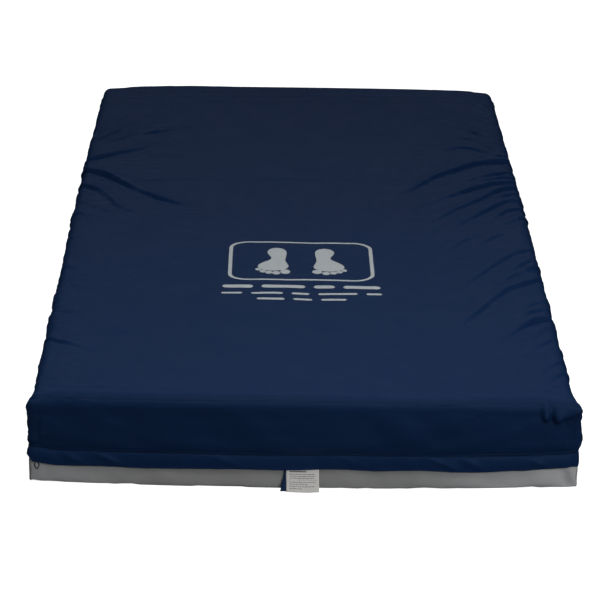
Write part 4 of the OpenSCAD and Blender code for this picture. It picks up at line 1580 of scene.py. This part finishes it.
def area_light(name, location, target, size, energy, color, size_y=None, glossy=False):
    data = bpy.data.lights.new(name, "AREA")
    data.energy, data.size, data.color = energy, size, color
    if size_y:
        data.shape, data.size_y = "RECTANGLE", size_y
    add_light(data, Vector(target) - Vector(location), location, glossy)


def sun_light():
    data = bpy.data.lights.new("back", "SUN")
    data.energy, data.angle = 1.76, math.radians(16)
    add_light(data, Vector((0.04, -0.80, -0.62)))


def add_world():
    """Plain bright to the camera, a soft band of light in reflections, dim otherwise."""
    world = bpy.data.worlds.new("studio")
    world.use_nodes = True
    tree = world.node_tree
    background = tree.nodes["Background"]
    background.inputs[0].default_value = (0.95, 0.97, 1.0, 1)
    rays = tree.nodes.new("ShaderNodeLightPath")
    direction = tree.nodes.new("ShaderNodeTexCoord")
    split = tree.nodes.new("ShaderNodeSeparateXYZ")
    tree.links.new(direction.outputs["Generated"], split.inputs[0])
    ramp = tree.nodes.new("ShaderNodeValToRGB")
    tree.links.new(split.outputs["Z"], ramp.inputs[0])
    stops = ramp.color_ramp.elements
    for position, value in ((0.0, 0.006), (0.18, 0.040), (0.35, 0.200), (0.50, 0.080),
                            (0.72, 0.020), (1.0, 0.010)):
        if position == 0.0:
            stop = stops[0]
        elif position == 1.0:
            stop = stops[1]   # by now this is the stop made at 0.18; it moves to 1
        else:
            stop = stops.new(position)
        stop.position, stop.color = position, (value, value, value, 1)
    reflected = tree.nodes.new("ShaderNodeMix")
    tree.links.new(rays.outputs["Is Glossy Ray"], reflected.inputs[0])
    reflected.inputs[2].default_value = 0.07   # strength for bounced light
    tree.links.new(ramp.outputs[0], reflected.inputs[3])
    seen = tree.nodes.new("ShaderNodeMix")
    tree.links.new(rays.outputs["Is Camera Ray"], seen.inputs[0])
    tree.links.new(reflected.outputs[0], seen.inputs[2])
    seen.inputs[3].default_value = 1.06        # strength seen by the camera
    tree.links.new(seen.outputs[0], background.inputs[1])
    scene.world = world


add_camera()
area_light("key", location=(0.10, -1.03, 1.60), target=(0, -0.92, 0.1), size=1.1,
           energy=11.8, color=(1.0, 0.99, 0.97))
area_light("front", location=(1.9, -4.2, 1.8), target=(0.15, -1.0, 0.05), size=2.0,
           energy=84, color=(0.96, 0.98, 1.0))
area_light("left", location=(-3.4, -0.5, 0.75), target=(-0.4, -0.2, 0.07), size=1.8,
           energy=16, color=(0.97, 0.98, 1.0))
area_light("side", location=(3.2, -1.4, 1.6), target=(0.3, -0.4, 0.1), size=1.6,
           energy=8, color=(0.95, 0.97, 1.0))
# a faint wide strip beyond the head end gives the folds their soft edge light
area_light("rim", location=(0.0, 3.3, 2.0), target=(0, -0.8, 0.15), size=4.0,
           energy=3.7, color=(1.0, 0.97, 0.96), size_y=0.8, glossy=True)
sun_light()
add_world()
scene.view_settings.view_transform = "Standard"

FLOOR_Z = -0.0002
floor = mesh_object("studio_floor", [(-30, -30, FLOOR_Z), (30, -30, FLOOR_Z), (30, 40, FLOOR_Z),
                                     (-30, 40, FLOOR_Z)], [(0, 1, 2, 3)], smooth=False)
paint(floor, "floor")
